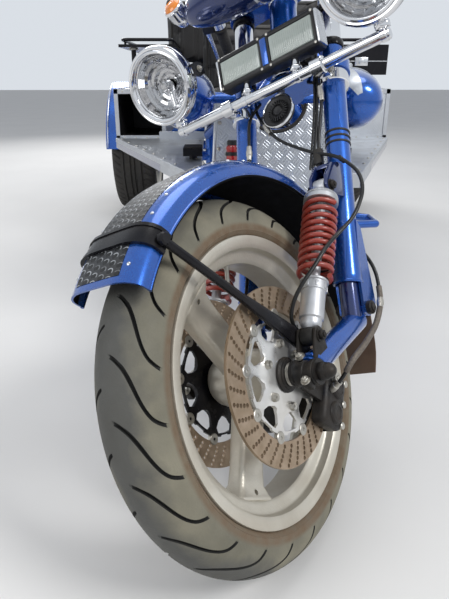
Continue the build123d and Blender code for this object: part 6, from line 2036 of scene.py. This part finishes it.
# %% Rear tyres
REAR_BEAD = 0.2035
rear_half = [(0.0, 0.33), (0.006, 0.33), (0.0075, 0.3225), (0.0145, 0.3225), (0.016, 0.33), (0.03, 0.3298),
    (0.042, 0.3295), (0.0435, 0.322), (0.0505, 0.3218), (0.052, 0.329), (0.066, 0.3284), (0.08, 0.3274),
    (0.092, 0.3245), (0.102, 0.3185), (0.1085, 0.31), (0.1125, 0.3), (0.1142, 0.292), (0.1136, 0.286), (0.115, 0.282),
    (0.115, 0.262), (0.1145, 0.25), (0.1128, 0.2475), (0.1135, 0.244), (0.111, 0.232), (0.107, 0.222),
    (0.1035, 0.2155), (0.1025, 0.2105), (0.1, REAR_BEAD)]
rear_section = [(-x, r) for x, r in reversed(rear_half[1:])] + rear_half
LUGS, LUG_LINES = 54, 4
ZIGZAG_TO = 0.056            # half the width of the tread's zigzag part
CUT_DEPTH, NOTCH_DEPTH = 0.0055, 0.0025
rear_tyre = turned(rear_section, steps=LUGS * LUG_LINES, closed=True)
for v in rear_tyre.data.vertices:
    x, y, z = v.co
    ring = hypot(y, z)
    if ring < 0.3:
        continue
    line = round(atan2(z, -y) / (2 * pi) * LUGS * LUG_LINES) % (LUGS * LUG_LINES)
    step = line % LUG_LINES
    out = abs(x)
    if out < ZIGZAG_TO:
        sway = radians(1.5) * sin(2 * pi * line / LUG_LINES + pi / 4)
    else:
        sway = radians(5.0) * ease(out, ZIGZAG_TO, 0.11)
    pull = 0.0
    if step == 0 and 0.06 < out < 0.112:
        pull = CUT_DEPTH
    if step == 2 and 0.016 < out < 0.0425:
        pull = NOTCH_DEPTH
    turn = atan2(z, -y) + sway * (1 if x > 0 else -1)
    v.co = (x, -(ring - pull) * cos(turn), (ring - pull) * sin(turn))
wheel_sides = {"left": HERE, "right": reflect(-1)}
for word, flip in wheel_sides.items():
    body = f"rear_wheel_{word}"
    made = piece(laid(rear_tyre, [flip]), f"rear_tyre_{word}_rubber", shaded_tyre, body, REAR[word], angle=25)
    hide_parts(f"rear_tyre_{word}")
print("rear tyre faces:", len(rear_tyre.data.polygons))
discard(rear_tyre)

# %% Rear rims, nuts, caps and valves
rear_rim = ring_lathe(96, (101, 203.5), (104.5, 216.5), (108, 218.5), (111.5, 217), (110.5, 210.5), (105.5, 200),
    (99, 193.5), (85.5, 189.5), (75, 179.5), (50, 174.5), (46, 168), (52, 154), (66, 135), (71.5, 118), (70.5, 98),
    (65.5, 88), (65.5, 48), (75, 42), (75.5, 34), (67.5, 30), (59.5, 30), (59.5, 88), (64.5, 100), (65.5, 118),
    (59.5, 134), (45, 152), (38, 166), (-20, 172), (-75, 178.5), (-85.5, 190), (-99, 194), (-105.5, 200),
    (-110.5, 210.5), (-111.5, 217), (-108, 218.5), (-104.5, 216.5), (-101, 203.5), (-86, 200), (-76, 186), (0, 181.5),
    (75, 186), (86, 200))
slot_outline = [(-0.115 * cos(a), 0.115 * sin(a)) for a in (-0.2, -0.1, 0, 0.1, 0.2)]
slot_outline += [(-0.147 * cos(a), 0.147 * sin(a)) for a in (0.2, 0.1, 0, -0.1, -0.2)]
window_cut = bevelled(moved(plate(slot_outline, 0.12), shift((0.06, 0, 0))), 0.006, 2)
cut(rear_rim, copies(window_cut, around(10)))
rim_nut = copies(hex_bolt(0.0105, 0.01), [shift((0.0655, 0, 0.0635))])
nuts = copies(rim_nut, around(5, start=0.35))
hub_cap = lathe(48, (58, 34.5), (66.5, 34.5), (78, 32.5), (90.5, 26), (97, 14), (98.5, 0.1))
cap_ring = ring_lathe(48, (74, 34), (76, 37.2), (79, 37.2), (81, 34))
valve = copies(lathe(14, (0, 4.5), (6, 4.5), (9, 3), (28, 2.8), (29, 3.8), (37, 3.8), (38, 0.1)),
    [shift((0.092, 0, 0.187)) @ swing(25, "Y")])
for word, flip in wheel_sides.items():
    body = f"rear_wheel_{word}"
    made = piece(laid(rear_rim, [flip]), f"rear_rim_{word}_steel", alloy, body, REAR[word])
    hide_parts(f"rear_rim_{word}")
    piece(copies(joined_copies(hub_cap, cap_ring), [flip]), f"hub_cap_{word}", chrome, body, REAR[word])
    piece(copies(joined_copies(nuts, valve), [flip]), f"wheel_nuts_{word}", zinc, body, REAR[word])
print("rear rim faces:", len(rear_rim.data.polygons))
discard(rear_rim, nuts, hub_cap, cap_ring, valve)

# %% [markdown]
# ## Rear fenders and body
# The fenders keep their CAD sheet and get a rolled bead along the outer edge, a row of screws where they meet
# the body, and a bright moulding. The body gets a lid with its gap, hinges and a latch, side mouldings, and
# louvres. Strips and beads are thin tubes along curves that were measured on the CAD solids.

# %% Rear fender beads and screws
AXLE_BACK = Vector((0, 2.65, 0.33))


def on_fender(x, radius, lift):
    a = radians(lift)
    return Vector((x, AXLE_BACK.y - radius * cos(a), AXLE_BACK.z + radius * sin(a)))


beads, fender_heads, mouldings = [], [], []
for side in (1, -1):
    out = side * 0.7105
    edge_line = [on_fender(out, 0.311, 8 + 164 * i / 48) for i in range(49)]
    beads.append(tube(edge_line, 0.0048, False, 2))
    crease = [on_fender(side * 0.7005, 0.3785, 9 + 162 * i / 48) for i in range(49)]
    mouldings.append(tube(crease, 0.0026, False, 2))
    for i in range(19):
        lift = 12 + 156 * i / 18
        turn = radians(lift)
        facing = Vector((0, -cos(turn), sin(turn)))
        fender_heads.append((on_fender(side * 0.4535, 0.3802, lift), facing))
chassis_piece(joined(*beads), "rear_fender_beads", paint)
chassis_piece(joined(*mouldings), "rear_fender_mouldings", chrome)
head = lathe(14, (0, 0.1), (0, 5.2), (1.2, 5), (2.4, 3), (2.7, 0.1))
places = [shift(p) @ aimed(facing) for p, facing in fender_heads]
chassis_piece(copies(head, places), "rear_fender_screws", zinc)
print("rear fender screws:", len(fender_heads))

# %% Body lid, hinges, latch, mouldings and louvres
lid_lo, lid_hi = Vector((-0.36, 2.33, 0.8595)), Vector((0.36, 2.9, 0.8665))
lid = block(lid_lo, lid_hi, 0.003, 2)
lid_ribs = [bevelled(block((x - 0.011, 2.38, 0.8655), (x + 0.011, 2.85, 0.8705)), 0.0035, 2)
    for x in (-0.2, -0.1, 0.0, 0.1, 0.2)]
chassis_piece(joined(lid, *lid_ribs), "body_lid", paint)
seal_line = [(-0.3625, 2.3275, 0.8612), (0.3625, 2.3275, 0.8612), (0.3625, 2.9025, 0.8612), (-0.3625, 2.9025, 0.8612)]
seal = tube(rounded_path(seal_line + seal_line[:2], 0.012, 4)[1:-1], 0.0028, False, 2)
chassis_piece(seal, "body_lid_seal", rubber)
hinge_bits = []
for x in (-0.24, 0.24):
    hinge_bits.append(round_bar((x - 0.035, 2.3235, 0.8685), (x + 0.035, 2.3235, 0.8685), 0.0055, 18, bevel=0.001))
    hinge_bits.append(block((x - 0.033, 2.322, 0.8655), (x + 0.033, 2.365, 0.8685), 0.0012, 1))
    hinge_bits.append(block((x - 0.033, 2.282, 0.8598), (x + 0.033, 2.325, 0.8628), 0.0012, 1))
    hinge_bits.append(screws([(x + dx, y, z) for dx in (-0.022, 0.022) for y, z in ((2.351, 0.8685),
        (2.296, 0.8628))], 0.0042))
latch = slab((-26, 2885, 865.5), (26, 2925, 870.5), 1.5, 1)
handle = tube(rounded_path([(-0.02, 2.916, 0.869), (-0.02, 2.93, 0.876), (0.02, 2.93, 0.876), (0.02, 2.916, 0.869)],
    0.006, 4), 0.003, False, 2)
chassis_piece(joined(latch, handle, *hinge_bits), "body_hinges_and_latch", chrome)
louvres = []
for side in (1, -1):
    for i in range(6):
        slat = slab((-2, -55, -6.5), (5.5, 55, 6.5), 2.5, 2)
        place = shift((side * 0.4405, 2.35, 0.7 + 0.022 * i)) @ Matrix.Rotation(side * radians(18), 4, "Y")
        louvres.append(moved(slat, place @ reflect(side)))
for slat in louvres:
    shut(slat, False)
chassis_piece(joined(*louvres), "body_louvres", dark_and_shaded_blue)
seams = [tube([(x, 2.29, 0.775), (x, 2.93, 0.775)], 0.0036, False, 2) for x in (0.4412, -0.4412)]
seams.append(tube([(-0.38, 2.9612, 0.625), (0.38, 2.9612, 0.625)], 0.0036, False, 2))
chassis_piece(joined(*seams), "body_mouldings", chrome)
body_heads = along((-0.41, 2.9602, 0.603), (0.41, 2.9602, 0.603), 0.09)
chassis_piece(screws(body_heads, 0.0042, (0, 1, 0)), "body_screws", zinc)
print("rear body dressed")

# %% [markdown]
# ## Tail lamps, plate, exhausts and axle
# A tail lamp is a chrome-framed block with a fluted red lens, an amber band and a pale band. The blank plate
# sits in a frame with four screws and a small lamp above it. Exhaust ends are turned and flared, with clamps
# on the pipes, and the axle gets drums, flange bolts and a cover with a plug.

# %% Tail lamps
lamp_frames, reds, ambers, pales = [], [], [], []
for side in (1, -1):
    mid = Vector((side * 0.35, 2.96, 0.725))
    shape = shift(mid)
    lamp_frames.append(moved(slab((-47.5, -1, -37.5), (47.5, 20, 37.5), 6, 3), shape))
    lens = slab((-42.5, 10, -32.5), (42.5, 30, 9.5), 5, 3)
    flutes = copies(bevelled(slab((-1.4, 29.5, -29), (1.4, 30.8, 6)), 0.0006, 1, 20),
        [shift((0.0042 * i, 0, 0)) for i in range(-9, 10)])
    reds.append(moved(joined(lens, flutes), shape))
    ambers.append(moved(slab((-42.5, 10, 10.5), (-1, 29.5, 32.5), 4), shape))
    pales.append(moved(slab((1, 10, 10.5), (42.5, 29.5, 32.5), 4), shape))
chassis_piece(joined(*lamp_frames), "tail_lamp_frames", chrome)
made = chassis_piece(joined(*reds), "tail_lamp_lenses", red_lens)
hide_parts("tail_lamps")
chassis_piece(joined(*ambers), "tail_lamp_amber", amber)
chassis_piece(joined(*pales), "tail_lamp_pale", frosted)

# %% Plate frame, its lamp and reflectors
frame_line = [(-0.133, 2.9645, 0.637), (0.133, 2.9645, 0.637), (0.133, 2.9645, 0.763), (-0.133, 2.9645, 0.763)]
rim_tube = tube(rounded_path(frame_line + frame_line[:2], 0.01, 4)[1:-1], 0.0038, False, 2)
plate_lamp = slab((-35, 2960, 772), (35, 2985, 792), 5, 3)
chassis_piece(joined(rim_tube, plate_lamp), "plate_frame", chrome)
chassis_piece(screws([(x, 2.965, z) for x in (-0.105, 0.105) for z in (0.655, 0.745)], 0.0045, (0, 1, 0)),
    "plate_screws", zinc)
glow = slab((-28, 2965, 770.5), (28, 2981, 773.5), 1, 1)
chassis_piece(glow, "plate_lamp_lens", frosted)
reflector = lathe(32, (0, 21), (3, 22), (6, 20.5), (6.5, 18.5))
disc_face = lathe(32, (4.5, 0.1), (4.5, 18.8), (6.2, 18.6), (6.8, 0.1))
facing_back = swing(90, "Z")
spots = [shift((s * 0.24, 2.96, 0.67)) @ facing_back for s in (1, -1)]
chassis_piece(copies(reflector, spots), "reflector_rings", chrome)
chassis_piece(copies(disc_face, spots), "reflectors", red_lens)

# %% Exhaust ends, silencers and clamps
PIPE_X, PIPE_Z = 0.25, 0.235
pipe_end = lathe(48, (0, 32.5), (20, 34.5), (60, 37), (92, 39.5), (98, 38.5), (98, 36), (20, 31), (18, 0.1))
ends = [shift((s * PIPE_X, 2.9225, PIPE_Z)) @ facing_back for s in (1, -1)]
chassis_piece(copies(pipe_end, ends), "exhaust_ends", chrome)
silencer = lathe(56, (-190, 32.2), (-176, 46), (-165, 50.5), (165, 50.5), (176, 46), (190, 32.2))
seam_band = lathe(56, (-166, 50.4), (-164, 52.2), (-158, 52.2), (-156, 50.4))
cans = [shift((s * PIPE_X, 2.52, PIPE_Z)) @ facing_back for s in (1, -1)]
chassis_piece(copies(joined(silencer, copy_of(seam_band), copies(seam_band, [shift((0.322, 0, 0))])), cans),
    "silencers", chrome)
band = ring_lathe(40, (-11, 32.8), (-11, 34.5), (11, 34.5), (11, 32.8))
ear = slab((-4, -11, 33.5), (4, 11, 50), 1, 1)
clamp_bolt = copies(hex_bolt(0.006, 0.014), [shift((0.004, 0, 0.0425))])
clamp_set = joined(band, ear, clamp_bolt)
chassis_piece(copies(clamp_set, [shift((s * PIPE_X, y, PIPE_Z)) @ facing_back for s in (1, -1)
    for y in (2.295, 2.74, 2.9)]), "exhaust_clamps", zinc)

# %% Axle drums, flange bolts and casing bolts
axle_bits = []
for side in (1, -1):
    x = side * 0.46
    drum = lathe(64, (-22, 36.5), (-22, 112), (-18, 118), (18, 118), (22, 112), (30, 100), (34, 60), (34, 36.5))
    fins = [turned([(-0.014 + 0.007 * k, 0.117), (-0.0125 + 0.007 * k, 0.1215), (-0.0105 + 0.007 * k, 0.1215),
        (-0.009 + 0.007 * k, 0.117)], steps=64) for k in range(4)]
    spot = shift((x + side * 0.035, *AXLE_BACK[1:])) @ reflect(side)
    axle_bits.append(copies(joined(drum, *fins), [spot]))
casing_bolts = copies(hex_bolt(0.0075, 0.008), [shift((0, 0, 0.092))])
axle_bolts = copies(casing_bolts, [shift((s * 0.09, *AXLE_BACK[1:])) @ reflect(s) @ turn for s in (1, -1)
    for turn in around(8)])
cover = lathe(48, (-12, 0.1), (-12, 70), (0, 84), (12, 88), (12, 0.1))
back_cover = copies(cover, [shift((0, AXLE_BACK.y + 0.098, AXLE_BACK.z)) @ swing(-90, "Z")])
plug = copies(hex_bolt(0.01, 0.01), [shift((0.03, AXLE_BACK.y + 0.108, AXLE_BACK.z + 0.02)) @ facing_back])
chassis_piece(joined(*axle_bits), "brake_drums", black_paint)
chassis_piece(joined(axle_bolts, plug), "axle_bolts", zinc)
chassis_piece(back_cover, "axle_cover", engine_grey)
print("rear axle dressed")
